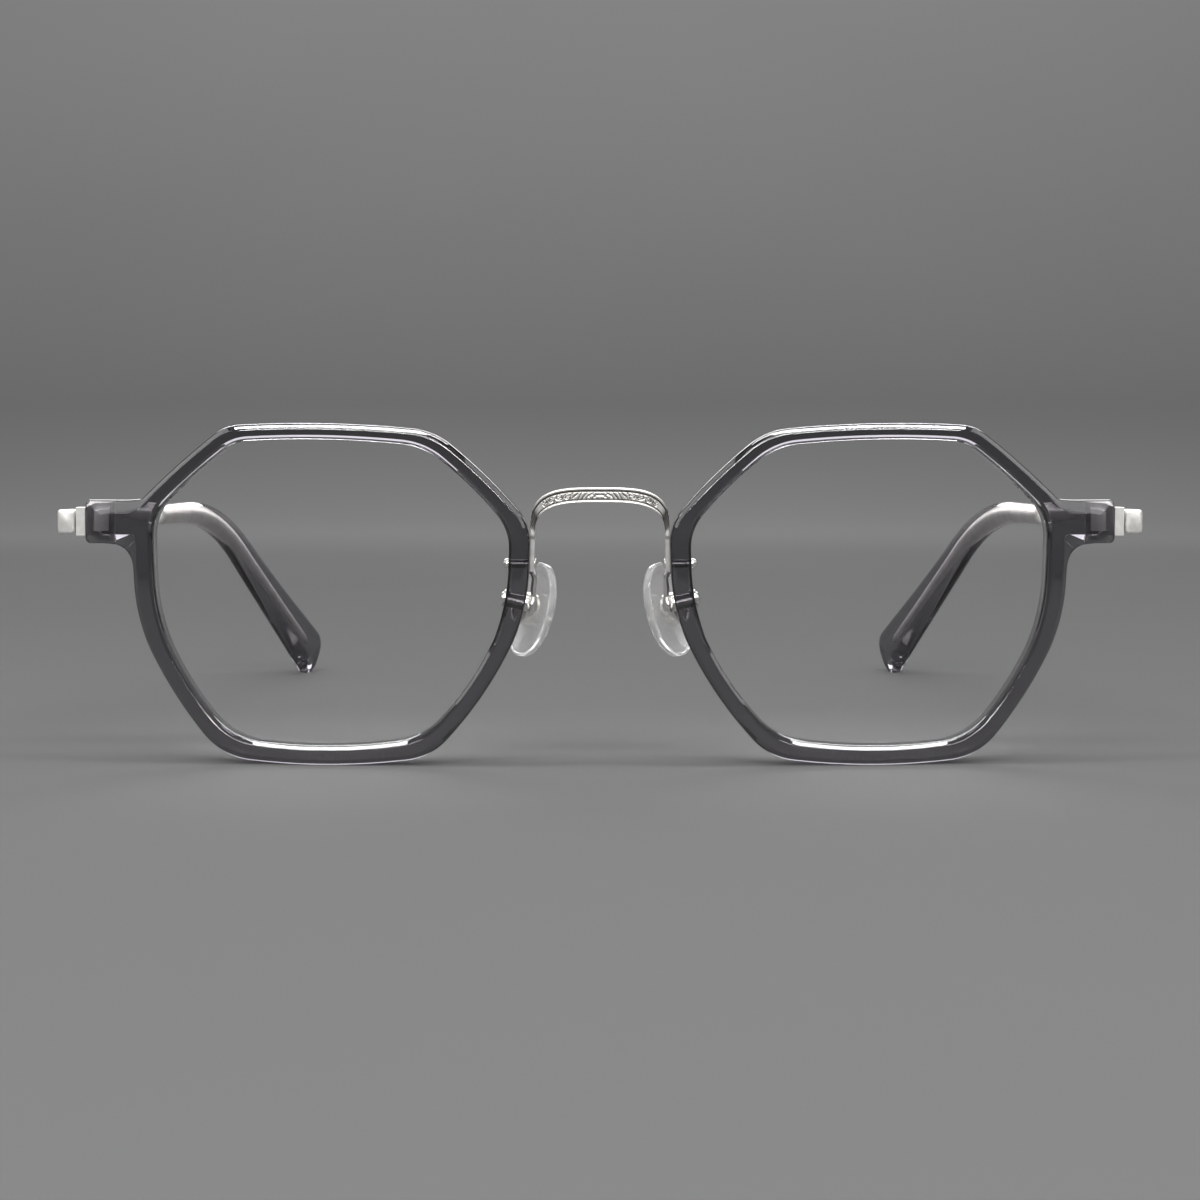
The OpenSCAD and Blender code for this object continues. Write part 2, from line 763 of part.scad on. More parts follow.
module pad_screw() {
    at_pad()
        translate([rock_x, 0, 0])
            rotate([-90, 0, 0]) {
                translate([0, 0, -cup_d / 2])
                    cylinder(h = cup_d + 0.1, d = pad_screw_d);
                translate([0, 0, cup_d / 2 + screw_fit / 2])
                    cylinder(h = pad_screw_head_h, d = pad_screw_head);
            }
}
module nose_pad() {
    color(clear_pad)
        in_frame()
            at_pad()
                difference() {
                    union() {
                        intersection() {
                            translate([-pad_h / 4, 0, 0])
                                rotate([90, 0, 90])
                                    linear_extrude(height = pad_h / 2)
                                        polygon(pad_outline);
                            difference() {
                                translate([pad_ball - pad_t / 2, 0, 0])
                                    sphere(r = pad_ball, $fn = 120);
                                translate([pad_ball + pad_t / 2, 0, 0])
                                    sphere(r = pad_ball, $fn = 120);
                            }
                        }
                        translate([0, -boss_w / 2, -boss_h / 2])
                            cube([boss_end, boss_w, boss_h]);
                    }
                    translate([rock_x, -boss_w, 0])
                        rotate([-90, 0, 0])
                            cylinder(h = 2 * boss_w, d = pad_screw_d + 2 * running_gap);
                }
}

hinge_low = hinge_z - hinge_h / 2;
module hinge_front() {
    web_w = 2;
    color(silver)
        in_frame()
            difference() {
                union() {
                    translate([seat_x, seat_y + eps, hinge_low])
                        cube([cheek_x + cheek_t - seat_x, plate_t, hinge_h]);
                    translate([cheek_x, cheek_y, hinge_low])
                        cube([cheek_t, seat_y + plate_t - cheek_y + eps, hinge_h]);
                    translate([tang_x, seat_y - tang[1], hinge_z - tang[2] / 2])
                        cube([tang[0], tang[1] + plate_t / 2, tang[2]]);
                    for (z = [hinge_low, hinge_low + hinge_h - knuckle_h])
                        translate([axis_x, axis_y, z]) {
                            cylinder(h = knuckle_h, d = barrel_d);
                            translate([-web_w / 2, -barrel_d / 2 - 2 * barrel_gap, 0])
                                cube([web_w, barrel_d / 2 + 2 * barrel_gap, knuckle_h]);
                        }
                }
                translate([axis_x, axis_y, hinge_low - 1])
                    cylinder(h = hinge_h + 2, d = screw_d + screw_fit);
                translate([axis_x, axis_y, hinge_low + hinge_h - screw_head_h])
                    cylinder(h = 1, d = screw_head_d + 0.1);
            }
}
module hinge_screw() {
    translate([axis_x, axis_y, hinge_low]) {
        cylinder(h = hinge_h - 0.1, d = screw_d);
        translate([0, 0, hinge_h - screw_head_h + screw_fit / 2])
            cylinder(h = screw_head_h - screw_fit / 2, d = screw_head_d);
    }
}
leaf_t = 0.8;
leaf_l = 7;
leaf_h = 2.6;
module hinge_rear() {
    arm_w = 1.8;
    knuckle_low = hinge_low + knuckle_h + running_gap;
    middle_h = hinge_h - 2 * knuckle_h - 2 * running_gap;
    color(silver)
        in_frame()
            difference() {
                union() {
                    translate([axis_x, axis_y, knuckle_low]) {
                        cylinder(h = middle_h, d = barrel_d);
                        translate([0, -arm_w / 2, 0])
                            cube([bar_x - axis_x - leaf_t / 2, arm_w, middle_h]);
                    }
                    translate([bar_x - leaf_t - eps, axis_y - arm_w / 2, hinge_z - leaf_h / 2])
                        cube([leaf_t, leaf_l, leaf_h]);
                }
                translate([axis_x, axis_y, hinge_low])
                    cylinder(h = hinge_h, d = screw_d + 2 * running_gap);
            }
}
module temple() {
    color(silver)
        in_frame()
            skin(temple_rings);
}
module ferrule() {
    color(silver)
        in_frame()
            translate(ferrule_at)
                rotate([-90, 0, 0])
                    difference() {
                        cylinder(h = ferrule_l, d = ferrule_d, center = true);
                        cylinder(h = 2 * ferrule_l, d = core_d + 2 * seat_gap, center = true);
                    }
}
module temple_tip() {
    color(acetate)
        in_frame()
            difference() {
                skin(sleeve_rings);
                skin(channel_rings);
            }
}

rim();  // rim_left
other_side() rim();  // rim_right
lens();  // lens_left
other_side() lens();  // lens_right
bridge();
pairs(silver) bridge_pin();  // bridge_pins
pairs(silver) pad_stud();  // pad_studs
pad_arm();  // pad_arm_left
other_side() pad_arm();  // pad_arm_right
pairs(silver) pad_screw();  // pad_screws
nose_pad();  // nose_pad_left
other_side() nose_pad();  // nose_pad_right
hinge_front();  // hinge_front_left
other_side() hinge_front();  // hinge_front_right
pairs(silver) hinge_screw();  // hinge_screws
hinge_rear();  // hinge_rear_left
other_side() hinge_rear();  // hinge_rear_right
temple();  // temple_left
other_side() temple();  // temple_right
ferrule();  // ferrule_left
other_side() ferrule();  // ferrule_right
temple_tip();  // temple_tip_left
other_side() temple_tip();  // temple_tip_right
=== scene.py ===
import json
import math

import bmesh
import bpy
from mathutils import Matrix, Vector


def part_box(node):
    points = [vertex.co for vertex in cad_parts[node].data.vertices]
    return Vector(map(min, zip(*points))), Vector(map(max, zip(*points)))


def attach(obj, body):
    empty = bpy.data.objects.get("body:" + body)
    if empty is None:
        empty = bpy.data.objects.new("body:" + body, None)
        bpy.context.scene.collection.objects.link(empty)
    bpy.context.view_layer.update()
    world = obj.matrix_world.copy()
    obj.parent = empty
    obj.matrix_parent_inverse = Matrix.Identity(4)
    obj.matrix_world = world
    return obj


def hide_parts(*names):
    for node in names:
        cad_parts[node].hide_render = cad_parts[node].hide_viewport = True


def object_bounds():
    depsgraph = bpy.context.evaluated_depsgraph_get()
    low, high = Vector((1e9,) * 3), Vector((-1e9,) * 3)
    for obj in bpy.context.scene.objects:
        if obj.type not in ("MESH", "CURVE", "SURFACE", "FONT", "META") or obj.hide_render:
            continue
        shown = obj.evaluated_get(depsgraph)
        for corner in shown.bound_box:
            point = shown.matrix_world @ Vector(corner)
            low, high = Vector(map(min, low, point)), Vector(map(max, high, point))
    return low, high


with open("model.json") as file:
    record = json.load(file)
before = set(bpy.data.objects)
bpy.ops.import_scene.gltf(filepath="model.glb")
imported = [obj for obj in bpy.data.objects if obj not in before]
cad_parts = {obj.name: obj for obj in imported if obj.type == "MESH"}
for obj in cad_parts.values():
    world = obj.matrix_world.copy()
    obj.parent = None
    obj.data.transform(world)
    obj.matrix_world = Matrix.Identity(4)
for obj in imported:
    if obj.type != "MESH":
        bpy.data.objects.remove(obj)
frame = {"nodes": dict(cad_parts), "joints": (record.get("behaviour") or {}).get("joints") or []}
cad_low, cad_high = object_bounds()

# Camera. It stands a hand's breadth above the floor in front of the bridge and
# looks slightly down, as a small product set is photographed.
camera_distance = 0.2995
camera_height = 0.0407
camera_tilt = math.radians(3.59)
camera_view = math.radians(29.13)
camera_data = bpy.data.cameras.new("camera")
camera_data.sensor_fit = "HORIZONTAL"
camera_data.angle = camera_view
camera_data.clip_start = 0.01
camera_data.clip_end = 20
camera = bpy.data.objects.new("camera", camera_data)
camera.location = (0, cad_low.y - camera_distance, camera_height)
camera.rotation_euler = (math.pi / 2 - camera_tilt, 0, 0)
bpy.context.scene.collection.objects.link(camera)
bpy.context.scene.camera = camera
bpy.context.scene.view_settings.view_transform = "Standard"


# Table top and backdrop. One sheet of plain matt grey paper lies flat and sweeps
# up behind the frame. It has one tone all over, with a faint mottle.
def new_finish(name, **sockets):
    """A material with one Principled shader, whose named sockets are set."""
    material = bpy.data.materials.new(name)
    material.use_nodes = True
    shader = material.node_tree.nodes["Principled BSDF"]
    for socket, value in sockets.items():
        shader.inputs[socket.replace("_", " ")].default_value = value
    return material, shader, material.node_tree


def blend_stops(tree, factor, stops):
    """Colours or numbers blended along a factor, from (place, value) pairs."""
    ramp = tree.nodes.new("ShaderNodeValToRGB")
    elements = ramp.color_ramp.elements
    elements[0].position = stops[0][0]
    elements[1].position = stops[-1][0]
    for place, value in stops[1:-1]:
        elements.new(place)
    for element, (place, value) in zip(elements, stops):
        element.color = (*value, 1) if isinstance(value, tuple) else (value, value, value, 1)
    tree.links.new(factor, ramp.inputs["Fac"])
    return ramp.outputs["Color"]


def object_place(tree):
    return tree.nodes.new("ShaderNodeTexCoord").outputs["Object"]


def mottle(tree, scale, low, high, detail=3):
    """Soft noise on Object coordinates, from one colour or number to another."""
    grain = tree.nodes.new("ShaderNodeTexNoise")
    grain.inputs["Scale"].default_value = scale
    grain.inputs["Detail"].default_value = detail
    tree.links.new(object_place(tree), grain.inputs["Vector"])
    return blend_stops(tree, grain.outputs["Fac"], ((0.35, low), (0.65, high)))


paper, paper_shader, paper_tree = new_finish("backdrop_paper", Roughness=0.9, Specular_IOR_Level=0)
paper_tree.links.new(mottle(paper_tree, 3, (0.124, 0.124, 0.125), (0.128, 0.128, 0.128)),
                     paper_shader.inputs["Base Color"])
sheet_front, sheet_side = -1.2, 1.4
sweep_start, sweep_radius, sweep_top, sweep_parts = 0.9, 0.8, 2.4, 16
steps = [(sweep_start - sheet_front, 0)]
for k in range(1, sweep_parts + 1):
    a, b = math.radians(90 * k / sweep_parts), math.radians(90 * (k - 1) / sweep_parts)
    steps.append((sweep_radius * (math.sin(a) - math.sin(b)), sweep_radius * (math.cos(b) - math.cos(a))))
steps.append((0, sweep_top - sweep_radius))
bm = bmesh.new()
edges = [bm.edges.new([bm.verts.new((x, sheet_front, 0)) for x in (-sheet_side, sheet_side)])]
for along, up in steps:
    grown = bmesh.ops.extrude_edge_only(bm, edges=edges)["geom"]
    edges = [g for g in grown if isinstance(g, bmesh.types.BMEdge)]
    bmesh.ops.translate(bm, verts=[g for g in grown if isinstance(g, bmesh.types.BMVert)], vec=(0, along, up))
bmesh.ops.recalc_face_normals(bm, faces=bm.faces)
if sum(f.normal.z for f in bm.faces) < 0:
    bmesh.ops.reverse_faces(bm, faces=bm.faces)
for face in bm.faces:
    face.smooth = True
backdrop_mesh = bpy.data.meshes.new("backdrop")
bm.to_mesh(backdrop_mesh)
bm.free()
backdrop = bpy.data.objects.new("backdrop", backdrop_mesh)
backdrop.data.materials.append(paper)
bpy.context.scene.collection.objects.link(backdrop)

# Soft boxes. Three long strips hang over and in front of the frame, a wide weak
# box stands at each side, and one behind lights the polished edges from within.
# The last two face away from the frame and light the paper's back and front ends.
lit_middle = (0, -0.06, 0.02)
soft_boxes = (
    # Name, place, point aimed at, width, height and power
    ("top_box", (0, -0.11, 0.75), lit_middle, 0.8, 0.12, 3.3),
    ("front_box", (0, -0.49, 0.72), lit_middle, 0.8, 0.12, 3.3),
    ("eye_box", (0, -0.75, 0.43), lit_middle, 0.9, 0.16, 5),
    ("left_box", (-0.62, -0.06, 0.5), lit_middle, 0.6, 0.5, 1),
    ("right_box", (0.62, -0.06, 0.5), lit_middle, 0.6, 0.5, 1),
    ("back_box", (0, 0.9, 0.62), lit_middle, 1, 0.55, 9),
    ("backdrop_box", (0, 0.95, 1.1), (0, 1.85, 0.8), 2.2, 0.3, 27),
    ("apron_box", (0, -0.9, 0.9), (0, -1.9, 0.55), 2.2, 0.3, 26),
)
for name, place, aim, width, height, power in soft_boxes:
    lamp = bpy.data.lights.new(name, "AREA")
    lamp.shape = "RECTANGLE"
    lamp.size = width
    lamp.size_y = height
    lamp.energy = power
    box = bpy.data.objects.new(name, lamp)
    box.location = place
    box.rotation_euler = (Vector(aim) - Vector(place)).to_track_quat("-Z", "Y").to_euler()
    bpy.context.scene.collection.objects.link(box)
studio = bpy.data.worlds.new("studio")
studio.use_nodes = True
studio.node_tree.nodes["Background"].inputs["Color"].default_value = (0.97, 0.985, 1, 1)
studio.node_tree.nodes["Background"].inputs["Strength"].default_value = 0.13
bpy.context.scene.world = studio

# Rims. Each is milled from one sheet of clear smoke-grey acetate with its end
# piece, bevelled round both faces and tumbled until every edge is polished. Its
# flats look dark, because light crosses the whole depth there, and its bevels pale.
# Painted shade, a near-black tint in the colour, lines its outer and inner edges,
# walls and groove, and fades out along the level top and bottom bars.
MM = 0.001
SIDES = (("left", 1), ("right", -1))
depth_zero = cad_low.y - 0.5 * MM
lens_width, lens_height, nose_gap = 48, 41.5, 22.6
ball_radius, ball_turn = 132, 4
groove = 0.5
half_width, half_height = lens_width / 2 - groove, lens_height / 2 - groove
# Corners from the upper temple one round by the nose, as shares of half the opening
corner_shares = ((0.54, 0.97), (-0.52, 0.94), (-1, 0.4), (-0.99, -0.07),
                 (-0.5, -0.945), (0.56, -0.95), (0.98, -0.17), (1.005, 0.5))
side_bows = (0.6, 0.6, 0, 1.4, 1, 0.95, 0.15, 0.3)
corner_cuts = (2, 2.8, 2.5, 5, 3, 3.6, 4.4, 3)
rim_widths = (2.1, 2.4, 2.7, 2.4, 2.6, 2.6, 2.9, 2.4)
corner_steps, side_steps = 12, 9
lug_corner, lug_root, lug_shoulder, lug_round, lug_top_fillet = 7, 8, 2, 0.7, 1.4
lug_foot_steps, lug_arc_steps, lug_head_steps = 14, 6, 8
lug_points = 1 + lug_foot_steps + 2 * (lug_arc_steps + 1) + lug_head_steps + 1
rim_depth, back_bevel, outer_bevel, inner_bevel = 4.4, 0.3, 0.65, 0.6
bevel_depth, lug_bevel_depth, lug_fade_in, lug_fade_out = 0.5, 1.1, 10, 8
groove_depth, groove_mouth, groove_floor = 1.35, 0.45, 0.3
level_from, level_fade = 0.95, 0.1
round_points, round_room, least_room, most_room = 5, 1.7, 0.2, 0.44
corners = [Vector((x * half_width, z * half_height)) for x, z in corner_shares]
lens_x = nose_gap / 2 + lens_width / 2


def bezier(a, c, b, t):
    return a.lerp(c, t).lerp(c.lerp(b, t), t)


def side_normal(i):
    along = (corners[(i + 1) % 8] - corners[i]).normalized()
    return Vector((along.y, -along.x))


def moved_corner(i, grow):
    """Corner i once each side has moved outwards by its own distance."""
    p, q, a, b = side_normal(i - 1), side_normal(i), grow[i - 1], grow[i]
    return corners[i] + Vector((a * q.y - b * p.y, p.x * b - q.x * a)) / (p.x * q.y - p.y * q.x)


def side_point(i, grow, t):
    a, b = moved_corner(i, grow), moved_corner((i + 1) % 8, grow)
    return bezier(a, (a + b) / 2 + 2 * side_bows[i] * side_normal(i), b, t)


def share_of_side(length, i, grow):
    return length / (moved_corner((i + 1) % 8, grow) - moved_corner(i, grow)).length


def corner_curve(i, grow, steps):
    before = (i - 1) % 8
    start = side_point(before, grow, 1 - share_of_side(corner_cuts[i], before, grow))
    finish = side_point(i, grow, share_of_side(corner_cuts[i], i, grow))
    return [bezier(start, moved_corner(i, grow), finish, k / steps) for k in range(steps + 1)]


def lug_curve(grow, end, low, high, root_share, fillet):
    """The end piece in place of corner 7: a fillet, two small arcs and a fillet."""
    hip = moved_corner(lug_corner, grow)
    start = side_point(6, grow, 1 - share_of_side(lug_root, 6, grow))
    finish = side_point(7, grow, share_of_side(lug_shoulder, 7, grow))
    foot, head = Vector((hip.x, low)), Vector((hip.x, high))
    curve = [start]
    curve += [bezier(foot.lerp(start, root_share), foot, foot + Vector((fillet, 0)), k / lug_foot_steps)
              for k in range(1, lug_foot_steps + 1)]
    for centre_z, first in ((low + lug_round, -90), (high - lug_round, 0)):
        for k in range(lug_arc_steps + 1):
            a = math.radians(first + 90 * k / lug_arc_steps)
            curve.append(Vector((end - lug_round + lug_round * math.cos(a),
                                 centre_z + lug_round * math.sin(a))))
    return curve + [bezier(head + Vector((lug_top_fillet, 0)), head, finish, k / lug_head_steps)
                    for k in range(lug_head_steps + 1)]


def outline(grow, seventh, low_length, high_length):
    """Whole outline about the middle of the lens, with its own curve at corner 7."""
    points = []
    for i in range(8):
        points += seventh if i == lug_corner else corner_curve(i, grow, corner_steps)
        first = share_of_side(high_length if i == lug_corner else corner_cuts[i], i, grow)
        after = (i + 1) % 8
        last = 1 - share_of_side(low_length if i == 6 else corner_cuts[after], i, grow)
        points += [side_point(i, grow, first + (last - first) * k / side_steps) for k in range(1, side_steps)]
    return points


def plain_outline(distance):
    grow = [distance] * 8
    cut = corner_cuts[lug_corner]
    return outline(grow, corner_curve(lug_corner, grow, lug_points - 1), cut, cut)


def lug_outline(inset, end, low, high, root_share, fillet):
    grow = [width - inset for width in rim_widths]
    return outline(grow, lug_curve(grow, end, low, high, root_share, fillet), lug_root, lug_shoulder)


lug_reach, lug_low, lug_high, lug_fillet = 6.7, 6.2, 12, 4
flat_end_inset, flat_low_inset, flat_high_inset = 2.4, 1.3, 1.85
flat_root_share, flat_fillet = 0.2, 0.8
lug_end = moved_corner(lug_corner, rim_widths).x + lug_reach
opening = plain_outline(0)
groove_line = plain_outline(groove)
flat_inside = plain_outline(inner_bevel)
back_inside = plain_outline(back_bevel)
outside = lug_outline(0, lug_end, lug_low, lug_high, 1, lug_fillet)
flat_outside = lug_outline(outer_bevel, lug_end - flat_end_inset, lug_low + flat_low_inset,
                           lug_high - flat_high_inset, flat_root_share, flat_fillet)
back_outside = lug_outline(back_bevel, lug_end - back_bevel, lug_low + back_bevel,
                           lug_high - back_bevel, 1, lug_fillet)
stand_z = -min(p.y for p in outside)
ball_x = lens_x - ball_radius * math.sin(math.radians(ball_turn))
hinge_z = stand_z + (lug_low + lug_high) / 2
lug_first = len(opening) - lug_points - side_steps + 1


def front_y(x, z):
    """Depth of the lenses' ball at a place on the front."""
    return ball_radius - math.sqrt(ball_radius ** 2 - (x - ball_x) ** 2 - (z - stand_z) ** 2)


def to_scene(x, y, z):
    return Vector((x * MM, y * MM + depth_zero, z * MM))


seat_length, seat_sink = 4.3, 0.1
seat_x = lens_x + lug_end - seat_length
seat_y = front_y(seat_x, hinge_z) + rim_depth - seat_sink


def on_ball(p, depth):
    """Place on the front, p from the middle of the lens; the hinge's seat is cut flat."""
    x, z = lens_x + p[0], stand_z + p[1]
    y = front_y(x, z) + depth
    return to_scene(x, min(y, seat_y) if x > seat_x else y, z)


def loft(rings, closed=False, patina_and_painted_shade=None):
    """Skin through rings of as many points each. A closed one joins its last ring
    to its first, and an open one has its ends filled."""
    rows = rings + rings[:1] if closed else rings
    around = len(rows[0])
    bm = bmesh.new()
    # Marks that darken the colour: patina in engraved cuts, painted shade on the rims and cups.
    layer = bm.verts.layers.float.new("patina_and_painted_shade") if patina_and_painted_shade else None
    bmesh.ops.create_grid(bm, x_segments=around, y_segments=len(rows) - 1, size=1)
    for k, vert in enumerate(bm.verts):
        row, column = divmod(k, around + 1)
        vert.co = rows[row][column % around]
        if patina_and_painted_shade:
            vert[layer] = patina_and_painted_shade[row % len(patina_and_painted_shade)][column % around]
    bmesh.ops.remove_doubles(bm, verts=bm.verts, dist=1e-7)
    if not closed:
        bmesh.ops.holes_fill(bm, edges=[e for e in bm.edges if e.is_boundary], sides=0)
    return bm


def place_piece(bm, name, material, body, replaced=None, crisp=40, side=1):
    """Makes the bmesh an object that rides on a body, mirrored for the right side and
    smooth but for edges over crisp degrees."""
    if side < 0:
        bmesh.ops.scale(bm, verts=bm.verts, vec=(-1, 1, 1))
    bmesh.ops.recalc_face_normals(bm, faces=bm.faces)
    for face in bm.faces:
        face.smooth = True
    for edge in bm.edges:
        edge.smooth = not edge.is_manifold or edge.calc_face_angle(0) < math.radians(crisp)
    mesh = bpy.data.meshes.new(name)
    bm.to_mesh(mesh)
    bm.free()
    piece = bpy.data.objects.new(name, mesh)
    piece.data.materials.append(material)
    bpy.context.scene.collection.objects.link(piece)
    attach(piece, body)
    if replaced:
        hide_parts(replaced)
    return piece


def ease(v):
    v = min(max(v, 0), 1)
    return v * v * (3 - 2 * v)


# Section of the rim: outline, depth behind the front ball, rounding, how many
# more points there are before the next row, and the painted shade there and after it.
# Painted shade darkens the colour at the outer and inner edges, the walls and the
# groove; it fades out on the level bars at the top and bottom, whose edges stay bright.
def rim_ring(s):
    place = s - lug_first
    along = outside[(s + 1) % len(outside)] - outside[s - 1]
    # Painted shade at the edges: full on the end piece, fading out where the rim runs level.
    edge_painted_shade = 1 if 0 <= place < lug_points else ease(
        (level_from - abs(along.x) / along.length) / level_fade)
    share = min(max(min(place / lug_fade_in, (lug_points - 1 - place) / lug_fade_out), 0), 1)
    side_depth = bevel_depth + (lug_bevel_depth - bevel_depth) * share
    section = (
        (opening, bevel_depth, 0.16, 0, edge_painted_shade, 0.3),
        (opening, groove_depth - groove_mouth, 0, 0, 0.3, 1),
        (groove_line, groove_depth - groove_floor, 0, 0, 1, 1),
        (groove_line, groove_depth + groove_floor, 0, 0, 1, 1),
        (opening, groove_depth + groove_mouth, 0, 2, 0.3, 0.1),
        (opening, rim_depth - back_bevel, 0.12, 0, 0.1, 0),
        (back_inside, rim_depth, 0.12, 5, 0, 0),
        (back_outside, rim_depth, 0.12, 0, 0, 0),
        (outside, rim_depth - back_bevel, 0.12, 3, 0, 0.1),
        (outside, side_depth, 0.28, 2, edge_painted_shade, 0),
        (flat_outside, 0, 0.14, 5, 0, 0),
        (flat_inside, 0, 0.1, 2, 0, 0))
    points = [Vector((*row[s], depth)) for row, depth, *_ in section]
    ring, dark = [], []
    for i, point in enumerate(points):
        after = points[(i + 1) % len(points)]
        rounding, more, painted_shade_here, painted_shade_after = section[i][2:]
        dark += [painted_shade_here] * (round_points if rounding else 1) + [painted_shade_after] * more
        if rounding:
            a = point.lerp(points[i - 1], min(rounding / (points[i - 1] - point).length, 0.4))
            b = point.lerp(after, min(rounding / (after - point).length, 0.4))
            ring += [bezier(a, point, b, k / (round_points - 1)) for k in range(round_points)]
        else:
            ring.append(point)
        length = (after - point).length
        next_rounding = section[(i + 1) % len(section)][2]
        first = min(max(round_room * rounding, least_room) / length, most_room)
        last = 1 - min(max(round_room * next_rounding, least_room) / length, most_room)
        ring += [point.lerp(after, first + (last - first) * k / (more - 1)) for k in range(more)]
    return [on_ball(p, p.z) for p in ring], dark


def let_lamps_through(tree, shader, tint):
    """Lamps shine through the clear piece, dimmed by tint."""
    ray = tree.nodes.new("ShaderNodeLightPath")
    clear = tree.nodes.new("ShaderNodeBsdfTransparent")
    clear.inputs["Color"].default_value = (*tint, 1)
    mix = tree.nodes.new("ShaderNodeMixShader")
    tree.links.new(ray.outputs["Is Shadow Ray"], mix.inputs["Fac"])
    tree.links.new(shader.outputs["BSDF"], mix.inputs[1])
    tree.links.new(clear.outputs["BSDF"], mix.inputs[2])
    tree.links.new(mix.outputs["Shader"], tree.nodes["Material Output"].inputs["Surface"])


def darkened(tree, colour, dark):
    """The colour, mixed towards the dark one where the piece's points are marked: patina in the bridge's
    engraved cuts, painted shade on the rims and in the pad cups' ring groove.
    """
    marks = tree.nodes.new("ShaderNodeAttribute")
    marks.attribute_name = "patina_and_painted_shade"
    mix = tree.nodes.new("ShaderNodeMix")
    mix.data_type = "RGBA"
    tree.links.new(marks.outputs["Fac"], mix.inputs["Factor"])
    tree.links.new(colour, mix.inputs["A"])
    mix.inputs["B"].default_value = (*dark, 1)
    return mix.outputs["Result"]


def smoke(tree, density):
    """Darkens the light that crosses the piece."""
    absorber = tree.nodes.new("ShaderNodeVolumeAbsorption")
    absorber.inputs["Color"].default_value = (0.49, 0.475, 0.505, 1)
    absorber.inputs["Density"].default_value = density
    tree.links.new(absorber.outputs["Volume"], tree.nodes["Material Output"].inputs["Volume"])


rim_acetate, rim_shader, rim_tree = new_finish("smoke_acetate", Transmission_Weight=1, IOR=1.49,
                                             Coat_Weight=1, Coat_IOR=1.8, Coat_Roughness=0.02)
# Painted shade: the colour darkens to near black where the rim's points are marked, along its edges, walls and
# groove.
rim_tree.links.new(darkened(rim_tree, mottle(rim_tree, 90, (0.95, 0.945, 0.955), (0.99, 0.985, 0.99)),
                            (0.02, 0.02, 0.022)), rim_shader.inputs["Base Color"])
rim_tree.links.new(mottle(rim_tree, 400, 0.005, 0.03), rim_shader.inputs["Roughness"])
smoke(rim_tree, 750)
let_lamps_through(rim_tree, rim_shader, (0.55, 0.54, 0.56))
rim_rings, rim_painted_shade = zip(*[rim_ring(s) for s in range(len(opening))])
for side, sign in SIDES:
    place_piece(loft(list(rim_rings), closed=True, patina_and_painted_shade=rim_painted_shade), f"rim_{side}_polished",
                rim_acetate, "front", f"rim_{side}", side=sign)

# Lenses. Clear moulded lenses on one gentle ball, each with a thin tongue all
# round that snaps into the groove of its rim.
lens_front, lens_thickness, tongue_thickness = 0.75, 1.2, 0.4
lens_clearance = 0.1
lens_edge = plain_outline(-lens_clearance)
lens_tongue = plain_outline(groove - lens_clearance)
lens_back = lens_front + lens_thickness
tongue_front = lens_front + (lens_thickness - tongue_thickness) / 2
tongue_back = tongue_front + tongue_thickness
lens_shares = (0, 0.2, 0.4, 0.6, 0.75, 0.87, 0.95, 0.99, 1)
lens_rings = [[on_ball(p * share, lens_front) for p in lens_edge] for share in lens_shares]
for row, depth in ((lens_edge, tongue_front), (lens_tongue, tongue_front),
                   (lens_tongue, tongue_back), (lens_edge, tongue_back)):
    lens_rings.append([on_ball(p, depth) for p in row])
lens_rings += [[on_ball(p * share, lens_back) for p in lens_edge] for share in lens_shares[::-1]]
lens_clear, lens_shader, lens_tree = new_finish("clear_lens", Transmission_Weight=1, IOR=1.15)
lens_tree.links.new(mottle(lens_tree, 60, (0.985, 0.99, 0.99), (1, 1, 1)), lens_shader.inputs["Base Color"])
lens_tree.links.new(mottle(lens_tree, 200, 0.0, 0.008), lens_shader.inputs["Roughness"])
let_lamps_through(lens_tree, lens_shader, (0.97, 0.97, 0.97))
for side, sign in SIDES:
    place_piece(loft(lens_rings), f"lens_{side}_moulded", lens_clear, "front",
                f"lens_{side}", side=sign)

# Bridge. One bar of warm silver alloy, arched over the nose: two beaded rails
# with an engraved field between them, a plain polished band at each end, and
# flat legs that lie on the rims. The graver's cuts hold a dark patina.
nose_top = moved_corner(2, rim_widths) + Vector((lens_x, stand_z))
nose_low = moved_corner(3, rim_widths) + Vector((lens_x, stand_z))
pin_rise, pin_depth, leg_below_pin, arch_drop = 3.65, 3.15, 0.95, 1.4
leg_thickness, leg_width = 0.6, 2.4
pin_z = stand_z + pin_rise
leg_low = pin_z - leg_below_pin
arch_z = nose_top.y - arch_drop
bar_height, bar_depth, arch_rise = 2, 1.7, 6.3
bar_front, bar_bow = 0.5, 0.8
outer_power, inner_power = 3.5, 3
across_points, rail_share = 32, 0.17
field_depth, cut_depth = 0.14, 0.09
engraved_to, side_hatch_from, side_hatch_to = 7.8, 8.8, 12
fine_pitch, bold_pitch, vine_from, vine_pitch = 0.66, 1.98, 3.7, 2.1
turn_lead, turn_run = 0.2, 1.6
leg_steps, arch_steps = 12, 210


def nose_wall_x(z):
    share = (z - nose_low.y) / (nose_top.y - nose_low.y)
    return nose_low.x + (nose_top.x - nose_low.x) * share - 0.01


